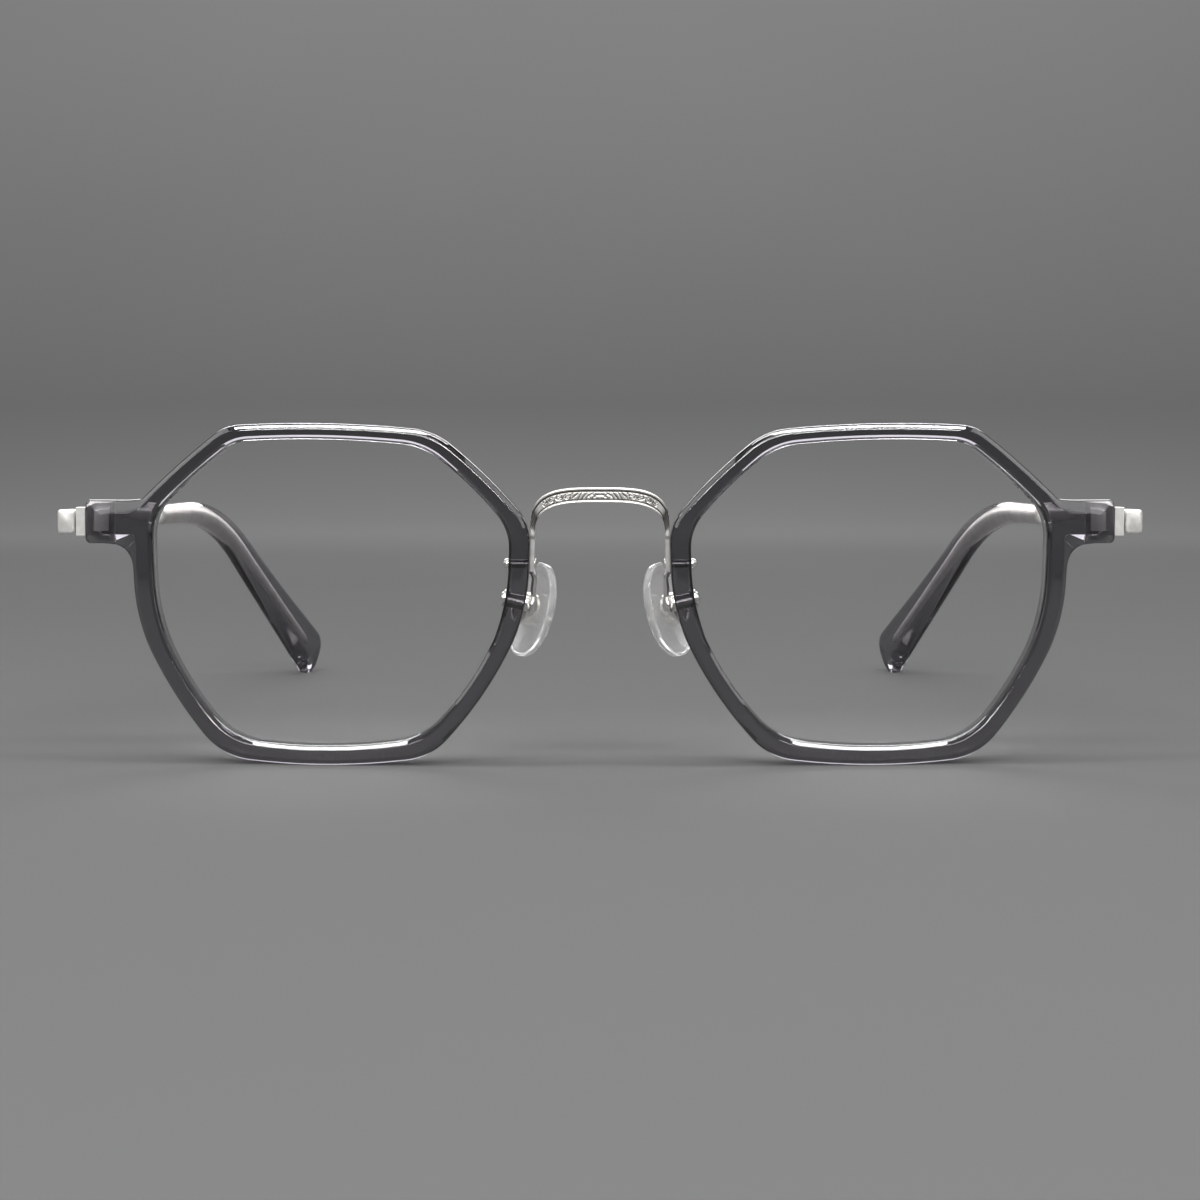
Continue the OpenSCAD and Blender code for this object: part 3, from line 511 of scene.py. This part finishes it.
def engraving(u, v):
    """Depth of the cuts, 0 to 1, at u mm from the middle of the bar and v mm up."""
    slant = u + 1.15 * v + 0.1 * math.sin(2.6 * u) + 0.05 * math.sin(7.1 * u + 3 * v)
    fine = ease(1.5 - 2.3 * abs(math.sin(math.pi * slant / fine_pitch)))
    bold = ease(1.1 - 4 * abs(math.sin(math.pi * slant / bold_pitch)))
    counter = 0.9 * ease(1.2 - 2.4 * abs(math.sin(math.pi * (u - 0.9 * v) / 0.8)))
    hatch = max(0.9 * fine, bold, counter * ease((1.9 - u) / 0.8))
    wave = 0.32 * math.sin(2 * math.pi * (u - vine_from) / vine_pitch)
    stem = ease(1 - abs(v - wave) / 0.11)
    leaf_u = (u - vine_from) % (vine_pitch / 2) - 0.52
    curl = math.hypot(leaf_u, (v + 0.55 * wave) * 1.25)
    leaf = max(ease(1 - abs(curl - 0.34) / 0.09), ease(1 - abs(curl - 0.13) / 0.07))
    vein = 0.5 * ease(1 - 2.2 * abs(math.sin(math.pi * (u - 1.4 * v) / 0.26)))
    share = ease((u - 3.3) / 0.8)
    return (hatch * (1 - share) + max(stem, leaf, vein) * share) * ease((engraved_to - u) / 0.3)


def side_hatch(u, v):
    line = ease(1.5 - 2 * abs(math.sin(math.pi * (u + 0.8 * v) / 0.5)))
    return (0.65 + 0.35 * line) * ease((u - side_hatch_from) / 0.6) * ease(side_hatch_to - u)


def arch_point(width, height, power, a):
    return Vector((width * math.cos(a) ** (2 / power), arch_z + height * math.sin(a) ** (2 / power)))


pin_y = front_y(nose_wall_x(pin_z), pin_z) + pin_depth
arch_out = nose_wall_x(arch_z)
stations = []
for k in range(leg_steps):
    z = leg_low + (arch_z - leg_low) * k / leg_steps
    stations.append((Vector((nose_wall_x(z), z)), Vector((nose_wall_x(z) - leg_thickness, z)), 0))
for k in range(arch_steps + 1):
    a = max(math.pi / 2 * k / arch_steps, 1e-5)
    outer = arch_point(arch_out, arch_rise, outer_power, a)
    inner = arch_point(arch_out - leg_thickness, arch_rise - bar_height, inner_power, a)
    stations.append((outer, inner, ease((arch_out - inner.x + turn_lead) / turn_run)))
lengths = [0]
for (outer, inner, _), (next_outer, next_inner, _) in zip(stations, stations[1:]):
    lengths.append(lengths[-1] + ((next_outer + next_inner - outer - inner) / 2).length)
half_rings, half_graved = [], []
for (outer, inner, bar), length in zip(stations, lengths):
    u = lengths[-1] - length
    front = pin_y - leg_width / 2
    back = front + leg_width
    front += (bar_front + bar_bow * (outer.x / arch_out) ** 2 - front) * bar
    back += (front + bar_depth - back) * bar
    ring, cuts = [], []
    for k in range(across_points + 1):
        t = k / across_points
        edge = min(t, 1 - t) / rail_share
        bead = math.sin(math.pi * edge) ** 0.5 if edge < 1 else 0
        v = (t - 0.5) * (outer - inner).length
        line = ease(1.4 - abs(edge - 1.35) / (0.4 if t > 0.5 else 0.25)) * ease((side_hatch_to - u) / 3)
        cut = max(side_hatch(u, v), max(line, engraving(u, v)) if edge > 1 else 0)
        p = inner.lerp(outer, t)
        round_off = 0.06 * (1 - bar) * (1 - min(edge * 3, 1)) ** 2
        ring.append(to_scene(p.x, front + field_depth * (1 - bead) * bar + cut_depth * cut + round_off, p.y))
        cuts.append(0.97 * cut + 0.03 * ease(edge - 0.9) * bar * ease((engraved_to + 0.2 - u) / 0.3))
    for t, inset in ((1, 0.12), (0.97, 0.03), (0.9, 0), (0.1, 0), (0.03, 0.03), (0, 0.12)):
        p = inner.lerp(outer, t)
        ring.append(to_scene(p.x, back - inset, p.y))
        cuts.append(0)
    half_rings.append(ring)
    half_graved.append(cuts)
bridge_rings = half_rings + [[Vector((-p.x, p.y, p.z)) for p in ring] for ring in half_rings[-2::-1]]


def metal_finish(name, metallic, smooth, rough):
    """Warm white metal with a fine grain; its engraved cuts hold a dark patina, and the pad cups' ring groove
    is darkened with painted shade.
    """
    material, shader, tree = new_finish(name, Metallic=metallic)
    colour = darkened(tree, mottle(tree, 700, (0.82, 0.8, 0.765), (0.93, 0.915, 0.89)), (0.045, 0.036, 0.03))
    tree.links.new(colour, shader.inputs["Base Color"])
    tree.links.new(mottle(tree, 1500, smooth, rough), shader.inputs["Roughness"])
    grain = tree.nodes.new("ShaderNodeBump")
    grain.inputs["Strength"].default_value = 0.12
    grain.inputs["Distance"].default_value = 0.00002
    tree.links.new(mottle(tree, 5000, 0.0, 1.0, detail=1), grain.inputs["Height"])
    tree.links.new(grain.outputs["Normal"], shader.inputs["Normal"])
    return material


engraved_silver = metal_finish("engraved_silver", 0.85, 0.3, 0.38)
polished_silver = metal_finish("polished_silver", 1, 0.16, 0.24)
place_piece(loft(bridge_rings, patina_and_painted_shade=half_graved + half_graved[-2::-1]), "bridge_engraved",
            engraved_silver, "front", "bridge", crisp=50)

# Bridge pins. Turned silver pins through each rim, with a tall domed head in
# the lens opening and a flat rivet head on the bridge's leg.
TURNED_SIDES = 36


def turned(profile, place, turn, dark=None):
    """A piece turned on a lathe: (along, radius) pairs about local Z, turned and placed.
    Where a list of darkness is given, one value for each pair, it is kept as painted shade in the marks that
    darken the colour."""
    rings = []
    for along, radius in profile:
        rings.append([place + turn @ Vector((
            radius * MM * math.cos(a), radius * MM * math.sin(a), along * MM))
            for a in (2 * math.pi * k / TURNED_SIDES for k in range(TURNED_SIDES))])
    return loft(rings, patina_and_painted_shade=[[value] * TURNED_SIDES for value in dark] if dark else None)


def dome(start, radius, height, steps=7):
    """Profile of a domed head from its rim to its top."""
    return [(start + height * math.sin(math.pi / 2 * k / steps), radius * math.cos(math.pi / 2 * k / steps))
            for k in range(steps)] + [(start + height, 0)]


opening_x = lens_x + corners[3].x + (corners[2].x - corners[3].x) * (
    (pin_z - stand_z - corners[3].y) / (corners[2].y - corners[3].y))
head_gap, rivet, rivet_radius, pin_radius = 0.1, 0.3, 0.7, 0.55
pin_head_radius, pin_head_rise = 0.725, 0.78
pin_in = opening_x + head_gap - nose_wall_x(pin_z)
pin_profile = ([(-leg_thickness - rivet + (rivet - 0.06) * (1 - math.cos(math.pi / 2 * k / 5)) - 0.05,
                 rivet_radius * math.sin(math.pi / 2 * k / 5)) for k in range(6)]
               + [(-leg_thickness - 0.04, pin_radius), (pin_in, pin_radius), (pin_in, 0.66),
                  (pin_in + 0.03, 0.71)]
               + dome(pin_in + 0.07, pin_head_radius, pin_head_rise))
along_x = Matrix.Rotation(math.pi / 2, 3, "Y")
for side, sign in SIDES:
    place_piece(turned(pin_profile, to_scene(nose_wall_x(pin_z), pin_y, pin_z), along_x), f"bridge_pin_{side}",
                polished_silver, "front", "bridge_pins" if sign > 0 else None, side=sign)

# Pad studs. Thick screws that hold each pad arm, pushed through the rim at a
# slight slant; the head has a stepped, domed face in the lens opening.
stud_drop, stud_inset = 1.65, 0.21
stud_z = stand_z - stud_drop
stud_x = nose_wall_x(stud_z) + stud_inset
stud_y = front_y(stud_x, stud_z) + pin_depth
stud_length, stud_radius, stud_tilt = 3.2, 0.95, 14
stud_dome_radius, stud_dome_rise = 0.88, 0.45
along_stud = Matrix.Rotation(math.radians(90 - stud_tilt), 3, "Y")
stud_profile = ([(-0.05, 0), (-0.05, stud_radius - 0.06), (0.01, stud_radius), (stud_length - 0.1, stud_radius),
                 (stud_length - 0.1, 1.14), (stud_length - 0.05, 1.2), (stud_length + 0.08, 1.2),
                 (stud_length + 0.13, 1.15), (stud_length + 0.13, 1.02), (stud_length + 0.08, 0.97)]
                + dome(stud_length + 0.13, stud_dome_radius, stud_dome_rise))
for side, sign in SIDES:
    place_piece(turned(stud_profile, to_scene(stud_x, stud_y, stud_z), along_stud), f"pad_stud_{side}",
                polished_silver, "front", "pad_studs" if sign > 0 else None, side=sign)

# Pad arms. A soft silver wire runs from under each bridge leg past the foot of
# the stud to the cup that holds the pad; the cup's back is turned with a bead,
# a deep ring and a low dome.
arm_radius, arm_sides, arm_steps = 0.4, 20, 8
arm_route = [Vector(p) for p in (
    (8.9, 4.29, 25.33), (8.6, 4.29, 24.48), (8.75, 4.39, 22.87),
    (8.63, 4.7, 20.63), (9.28, 5.11, 20.42), (9.2, 6.1, 20.14))]
pad_splay, pad_lean = math.radians(33), math.radians(16)
pad_turn = Matrix.Rotation(-pad_lean, 3, "Y") @ Matrix.Rotation(-pad_splay, 3, "Z")
pad_off_wall, pad_behind_rim, pad_below_stud = 1.04, 3.5, 1.25
pad_place = to_scene(nose_wall_x(stud_z) - pad_off_wall,
                     front_y(nose_wall_x(stud_z), stud_z) + rim_depth + pad_behind_rim, stud_z - pad_below_stud)
foot_profile = [(-0.8, 0), (-0.8, 1.02), (-0.74, 1.08), (-0.66, 1.1), (-0.5, 1.1), (-0.4, 1.07),
                (-0.35, 1.0), (-0.35, 0)]
cup_radius, cup_mouth, cup_back = 2.2, 1.125, 3.2
cup_profile = [(2.8, 0), (2.8, 1.6), (2.7, 1.7), (cup_mouth + 0.05, 1.72), (cup_mouth, 1.78),
               (cup_mouth, 2.12), (cup_mouth + 0.07, cup_radius), (2.75, cup_radius), (2.8, 2.12),
               (2.88, 2.12), (2.93, cup_radius), (3.05, 2.2), (3.15, 2.12), (cup_back, 2.0),
               (3.17, 1.86), (3.08, 1.78), (2.98, 1.74), (2.96, 1.5), (3.0, 1.38), (3.1, 1.3),
               (3.17, 1.1), (cup_back, 0.8), (3.22, 0.4), (3.23, 0)]
# Painted shade in the cup's deep ring groove, darkening its colour.
cup_painted_shade = [0.7 if 1.35 < radius < 1.8 and along > 2.9 else 0 for along, radius in cup_profile]


def spline(points, steps):
    """Smooth line through the points."""
    line = []
    for i in range(len(points) - 1):
        a, b, c, d = (points[min(max(i + k, 0), len(points) - 1)] for k in (-1, 0, 1, 2))
        for k in range(steps):
            t = k / steps
            line.append(0.5 * (2 * b + (c - a) * t + (2 * a - 5 * b + 4 * c - d) * t ** 2
                               + (3 * b - a - 3 * c + d) * t ** 3))
    return line + [points[-1]]


def round_wire(line, radius, sides):
    """Wire with rounded ends along a line that may run upright."""
    rings = []
    last = len(line) - 1
    turn_from = Vector((1, 0, 0))
    for k, p in enumerate(line):
        along = (line[min(k + 1, last)] - line[max(k - 1, 0)]).normalized()
        u = along.cross(turn_from).normalized()
        v = along.cross(u)
        ends = ((0.0, -1), (0.5, -0.85), (0.85, -0.5), (1, 0)) if k == 0 else (
            ((1, 0), (0.85, 0.5), (0.5, 0.85), (0.0, 1)) if k == last else ((1, 0),))
        for share, ahead in ends:
            rings.append([to_scene(*(p + along * ahead * radius * 0.5 + radius * share
                                     * (math.cos(a) * v + math.sin(a) * u)))
                          for a in (2 * math.pi * j / sides for j in range(sides))])
    return rings


for side, sign in SIDES:
    place_piece(loft(round_wire(spline(arm_route, arm_steps), arm_radius, arm_sides)),
                f"pad_arm_{side}_wire", polished_silver, "front", f"pad_arm_{side}", side=sign)
    place_piece(turned(foot_profile, to_scene(stud_x, stud_y, stud_z), along_stud),
                f"pad_arm_{side}_foot", polished_silver, "front", side=sign)
    place_piece(turned(cup_profile, pad_place, pad_turn @ along_x, cup_painted_shade), f"pad_arm_{side}_cup",
                polished_silver, "front", side=sign)

# Pad screws. One short slotted steel screw crosses each cup and the boss of its
# pad, which rocks on it.
screw_steel = metal_finish("turned_steel", 1, 0.2, 0.28)


def slotted_screw(radius, head_radius, head_height, length, slot, place, turn):
    """A screw with its head up local Z; the slot is cut into the head."""
    bm = turned([(-length, 0), (-length, radius - 0.08), (-length + 0.08, radius), (0, radius),
                 (0, head_radius - 0.04), (0.04, head_radius), (head_height - 0.06, head_radius),
                 (head_height - 0.01, head_radius - 0.06), (head_height, head_radius - 0.12)],
                Vector(), Matrix.Identity(3))
    top = [max(bm.faces, key=lambda f: f.calc_center_median().z)]
    for x in (-slot, slot):
        around = [*top, *{e for f in top for e in f.edges}, *{v for f in top for v in f.verts}]
        found = bmesh.ops.bisect_plane(bm, geom=around, plane_co=(x * MM, 0, 0), plane_no=(1, 0, 0))["geom"]
        top = [g for g in found if isinstance(g, bmesh.types.BMFace)]
    strip = min(top, key=lambda f: abs(f.calc_center_median().x))
    floor = bmesh.ops.extrude_discrete_faces(bm, faces=[strip])["faces"]
    bmesh.ops.translate(bm, verts=floor[0].verts, vec=(0, 0, -head_height * 0.5 * MM))
    bmesh.ops.transform(bm, verts=bm.verts, matrix=Matrix.Translation(place) @ turn.to_4x4())
    return bm


rock_x, screw_seat = 1.75, 2.22
across_pad = pad_turn @ Matrix.Rotation(-math.pi / 2, 3, "X")
for side, sign in SIDES:
    head_at = pad_place + pad_turn @ Vector((rock_x * MM, screw_seat * MM, 0))
    place_piece(slotted_screw(0.4, 0.6, 0.3, 4.42, 0.1, head_at, across_pad), f"pad_screw_{side}",
                screw_steel, "front", "pad_screws" if sign > 0 else None, side=sign)

# Nose pads. Soft clear moulded pads on a ball curve, with a rounded edge and a
# shallow dish behind, and a square boss that rocks in the cup.
pad_height, pad_width, pad_thickness, pad_ball = 12.8, 7.6, 1.25, 20
pad_power, pad_taper, pad_sides, edge_steps = 2.3, 0.1, 72, 6
front_round, back_round = 0.32, 0.28
boss_half_width, boss_half_height, boss_end, boss_power, boss_sides = 0.9, 1, 2.5, 5, 40


def pad_ring(share, x):
    """Ring at a share of the pad's outline, x mm behind the middle of its thickness."""
    ring = []
    for k in range(pad_sides):
        a = 2 * math.pi * (k + 0.5) / pad_sides
        c, s = math.cos(a), math.sin(a)
        z = pad_height / 2 * math.copysign(abs(s) ** (2 / pad_power), s)
        y = pad_width / 2 * math.copysign(abs(c) ** (2 / pad_power), c) * (1 - pad_taper * z / pad_height)
        y, z = y * share, z * share
        ring.append(pad_place + pad_turn @ (Vector((x + (y * y + z * z) / (2 * pad_ball), y, z)) * MM))
    return ring


half_pad = pad_thickness / 2
pad_rings = [pad_ring(share, -half_pad) for share in (0, 0.2, 0.4, 0.6, 0.76, 0.86)]
for k in range(edge_steps + 1):
    a = math.radians(90 * k / edge_steps)
    pad_rings.append(pad_ring(0.9 + 0.1 * math.sin(a), -half_pad + front_round * (1 - math.cos(a))))
for k in range(edge_steps + 1):
    a = math.radians(90 * k / edge_steps)
    pad_rings.append(pad_ring(0.92 + 0.08 * math.cos(a), half_pad - back_round * (1 - math.sin(a))))
pad_rings += [pad_ring(share, half_pad - dish) for share, dish in (
    (0.88, 0.01), (0.84, 0.05), (0.8, 0.14), (0.76, 0.22), (0.7, 0.25), (0.5, 0.25), (0.25, 0.25), (0, 0.25))]
boss_rings = []
for x, size in ((0.35, 1.06), (0.55, 1.02), (0.9, 1), (boss_end - 0.15, 1), (boss_end - 0.04, 0.95),
                (boss_end, 0.85)):
    ring = []
    for k in range(boss_sides):
        a = 2 * math.pi * (k + 0.5) / boss_sides
        c, s = math.cos(a), math.sin(a)
        ring.append(pad_place + pad_turn @ (Vector((
            x, boss_half_width * size * math.copysign(abs(c) ** (2 / boss_power), c),
            boss_half_height * size * math.copysign(abs(s) ** (2 / boss_power), s))) * MM))
    boss_rings.append(ring)
pad_clear, pad_shader, pad_tree = new_finish("clear_pad", Transmission_Weight=0.88, IOR=1.46)
pad_tree.links.new(mottle(pad_tree, 300, (0.93, 0.93, 0.92), (0.99, 0.99, 0.985)),
                   pad_shader.inputs["Base Color"])
pad_tree.links.new(mottle(pad_tree, 800, 0.05, 0.08), pad_shader.inputs["Roughness"])
let_lamps_through(pad_tree, pad_shader, (0.85, 0.85, 0.85))
for side, sign in SIDES:
    place_piece(loft(pad_rings), f"nose_pad_{side}_soft", pad_clear, f"pad_{side}",
                f"nose_pad_{side}", side=sign)
    place_piece(loft(boss_rings), f"nose_pad_{side}_boss", pad_clear, f"pad_{side}", side=sign)

# Hinges. Milled silver leaves with three knuckles, on an upright slotted screw.
# Their edges are broken, as the tumbler leaves them, and their faces are satin.
satin_silver = metal_finish("satin_silver", 0.7, 0.34, 0.42)


def milled_copy(node):
    """The node's loose triangles, joined up and paired into flat faces."""
    bm = bmesh.new()
    bm.from_mesh(frame["nodes"][node].data)
    bmesh.ops.remove_doubles(bm, verts=bm.verts, dist=1e-6)
    bmesh.ops.dissolve_limit(bm, angle_limit=math.radians(1), verts=bm.verts, edges=bm.edges)
    return bm


def break_edges(piece, width, over=30):
    """Rounds the piece's sharp edges a little."""
    rounding = piece.modifiers.new("broken_edges", "BEVEL")
    rounding.width = width * MM
    rounding.segments = 2
    rounding.limit_method = "ANGLE"
    rounding.angle_limit = math.radians(over)
    rounding.harden_normals = True


broken_edge, hinge_head_height = 0.07, 0.38
for side, sign in SIDES:
    for leaf, body in (("front", "front"), ("rear", f"temple_{side}")):
        node = f"hinge_{leaf}_{side}"
        break_edges(place_piece(milled_copy(node), f"{node}_milled", satin_silver, body, node),
                    broken_edge)
    hinge = next(j for j in frame["joints"] if j["name"] == f"temple_{side}_fold")
    head_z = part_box(f"hinge_front_{side}")[1].z - hinge_head_height * MM
    head_at = Vector((*hinge["pos_m"][:2], head_z))
    place_piece(slotted_screw(0.6, 0.95, hinge_head_height, 3.42, 0.14, head_at, Matrix.Identity(3)),
                f"hinge_screw_{side}", screw_steel, "front", "hinge_screws" if sign > 0 else None)

# Temples. A drawn silver bar that thins from a flat at the hinge to a round
# wire, which runs on inside the sleeve.
bar_start = Vector((71.1175, 8.44556, hinge_z))
collar_at = bar_start + Vector((0.5, 64, -0.8))
collar_length, collar_radius, core_radius, wire_diameter = 1.8, 1.65, 0.7, 2
bar_end = collar_at - Vector((0, collar_length / 2 + 0.05, 0))
bar_width, bar_high = 2.3, 3.2
# Share of the bar's length, width, height and squareness
bar_stops = ((0, bar_width - 0.44, bar_high - 0.44, 5), (0.0008, bar_width - 0.16, bar_high - 0.16, 6),
             (0.0024, bar_width - 0.03, bar_high - 0.03, 6.5), (0.004, bar_width, bar_high, 7),
             (0.1, bar_width, bar_high, 7), (0.3, bar_width * 0.86, bar_high * 0.86, 5),
             (0.6, bar_width * 0.76, bar_high * 0.72, 3.4), (0.9, wire_diameter * 0.9, wire_diameter, 2.4),
             (1, wire_diameter, wire_diameter, 2))
bar_parts, wire_parts, bar_sides = 60, 60, 40
full_from = bar_stops[3][0]
sleeve_start = collar_at + Vector((0, collar_length / 2 + 0.15, 0))
ear_run, ear_radius, ear_bend, tip_inset = 13, 36, math.radians(37), 17.4
tip_height, tip_width, tip_round, tip_flat, inset_power = 9.4, 3.6, 3, 0.1, 1.12
sleeve_first_d, sleeve_widening = 3.2, 20
ear_arc = ear_radius * ear_bend
ear_drop = ear_radius * (1 - math.cos(ear_bend))
tip_end_z = -tip_flat + max(
    tip_height / 2 * math.cos(ear_bend) * math.cos(math.radians(a))
    - tip_round * (1 - math.sin(math.radians(a))) * math.sin(ear_bend) for a in range(0, 91, 10))
sleeve_length = ear_run + ear_arc + (sleeve_start.z - tip_end_z - ear_drop) / math.sin(ear_bend)


def tube_rings(line, shape):
    """Rings across a line. shape(k) gives ring k's half width, half height,
    squareness and sides."""
    rings = []
    for k, p in enumerate(line):
        along = (line[min(k + 1, len(line) - 1)] - line[max(k - 1, 0)]).normalized()
        side = along.cross(Vector((0, 0, 1))).normalized()
        up = side.cross(along)
        half_wide, half_high, power, sides = shape(k)
        ring = []
        for j in range(sides):
            a = 2 * math.pi * (j + 0.5) / sides
            c, s = math.cos(a), math.sin(a)
            ring.append(p + side * half_wide * math.copysign(abs(c) ** (2 / power), c)
                        + up * half_high * math.copysign(abs(s) ** (2 / power), s))
        rings.append([to_scene(*q) for q in ring])
    return rings


def ear_point(s):
    """Middle of the sleeve, s mm from its front: straight, bent round the ear, straight."""
    inward = -tip_inset * (max(s, 0) / sleeve_length) ** inset_power
    if s < ear_run:
        along, up = s, 0
    elif s < ear_run + ear_arc:
        a = (s - ear_run) / ear_radius
        along, up = ear_run + ear_radius * math.sin(a), -ear_radius * (1 - math.cos(a))
    else:
        rest = s - ear_run - ear_arc
        along = ear_run + ear_radius * math.sin(ear_bend) + rest * math.cos(ear_bend)
        up = -ear_drop - rest * math.sin(ear_bend)
    return sleeve_start + Vector((inward, along, up))


def bar_size(share):
    """Width, height and squareness of the bar at a share of its length."""
    for a, b in zip(bar_stops, bar_stops[1:]):
        if share <= b[0]:
            t = (share - a[0]) / (b[0] - a[0])
            return [m + (n - m) * t for m, n in zip(a[1:], b[1:])]
    return bar_stops[-1][1:]


bar_shares = [stop[0] for stop in bar_stops[:4]]
bar_shares += [full_from + (1 - full_from) * k / bar_parts for k in range(1, bar_parts + 1)]
wire_short = 6
wire_places = [(sleeve_length - wire_short) * k / wire_parts for k in range(wire_parts + 1)]
temple_line = [bar_start.lerp(bar_end, share) for share in bar_shares] + [bar_end]
temple_line += [ear_point(s) for s in wire_places]


def temple_shape(k):
    if k < len(bar_shares):
        width, height, power = bar_size(bar_shares[k])
        return width / 2, height / 2, power, bar_sides
    tip = 0.3 if k == len(temple_line) - 1 else 1
    return core_radius * tip, core_radius * tip, 2, bar_sides


for side, sign in SIDES:
    place_piece(loft(tube_rings(temple_line, temple_shape)), f"temple_{side}_drawn", satin_silver,
                f"temple_{side}", f"temple_{side}", crisp=50, side=sign)

# Collars. A turned silver ring with a broken edge and one fine groove sits
# where the bar enters the sleeve.
collar_half = collar_length / 2
collar_profile = [(-collar_half, core_radius + 0.05), (-collar_half, 1.3), (-collar_half + 0.06, 1.46),
                  (-collar_half + 0.2, 1.6), (-collar_half + 0.36, collar_radius), (0.2, collar_radius),
                  (0.25, 1.58), (0.37, 1.58), (0.42, collar_radius), (collar_half - 0.15, collar_radius),
                  (collar_half - 0.04, 1.6), (collar_half, 1.5), (collar_half, core_radius + 0.05)]
along_y = Matrix.Rotation(-math.pi / 2, 3, "X")
for side, sign in SIDES:
    place_piece(turned(collar_profile, to_scene(*collar_at), along_y), f"ferrule_{side}_turned", satin_silver,
                f"temple_{side}", f"ferrule_{side}", side=sign)

# Sleeves. Clear acetate over the wire, bent behind the ear, with a full blunt end
# that is a little flat where it stands. The dye deepens from almost clear to smoke
# at the tip.
sleeve_sides, sleeve_parts, cap_parts = 48, 70, 16
mouth_round, mouth_narrowing, sleeve_power, sleeve_squareness = 0.3, 0.06, 1.5, 2.3
tip_cap, tip_fullness = 2.6, 3
cap_start = sleeve_length - tip_round
sleeve_places = [0, 0.05, 0.15, mouth_round]
sleeve_places += [mouth_round + (cap_start - mouth_round) * k / sleeve_parts
                  for k in range(1, sleeve_parts + 1)]
sleeve_places += [cap_start + tip_cap * math.sin(math.radians(90 * k / cap_parts))
                  for k in range(1, cap_parts + 1)]


def sleeve_shape(k):
    s = sleeve_places[k]
    height = sleeve_first_d + (tip_height - sleeve_first_d) * (s / sleeve_length) ** sleeve_power
    width = sleeve_first_d + (tip_width - sleeve_first_d) * min(s / sleeve_widening, 1)
    into_cap = max(s - cap_start, 0) / tip_cap
    taper = max(0.00003, 1 - into_cap ** tip_fullness) ** (1 / tip_fullness)
    taper *= 1 - mouth_narrowing * (1 - min(s / mouth_round, 1)) ** 2
    return width / 2 * taper, height / 2 * taper, sleeve_squareness, sleeve_sides


def along_axis(tree, axis, start, end):
    """A factor that runs from 0 at one place on an axis to 1 at another."""
    parts = tree.nodes.new("ShaderNodeSeparateXYZ")
    tree.links.new(object_place(tree), parts.inputs["Vector"])
    span = tree.nodes.new("ShaderNodeMapRange")
    span.inputs["From Min"].default_value = start
    span.inputs["From Max"].default_value = end
    tree.links.new(parts.outputs[axis], span.inputs["Value"])
    return span.outputs["Result"]


sleeve_rings = tube_rings([ear_point(s) for s in sleeve_places], sleeve_shape)
sleeve_rings = [[Vector((p.x, p.y, max(p.z, 0))) for p in ring] for ring in sleeve_rings]
sleeve_acetate, sleeve_shader, sleeve_tree = new_finish("sleeve_acetate", Transmission_Weight=1, IOR=1.49)
sleeve_y = to_scene(*sleeve_start).y
sleeve_tree.links.new(blend_stops(sleeve_tree, along_axis(sleeve_tree, "Y", sleeve_y, cad_high.y), (
    (0, (0.93, 0.92, 0.91)), (0.3, (0.8, 0.79, 0.79)), (0.6, (0.47, 0.46, 0.48)), (1, (0.32, 0.31, 0.34)))),
    sleeve_shader.inputs["Base Color"])
sleeve_tree.links.new(mottle(sleeve_tree, 400, 0.04, 0.1), sleeve_shader.inputs["Roughness"])
smoke(sleeve_tree, 160)
let_lamps_through(sleeve_tree, sleeve_shader, (0.6, 0.59, 0.61))
for side, sign in SIDES:
    place_piece(loft(sleeve_rings), f"temple_tip_{side}_sleeve", sleeve_acetate, f"temple_{side}",
                f"temple_tip_{side}", crisp=60, side=sign)
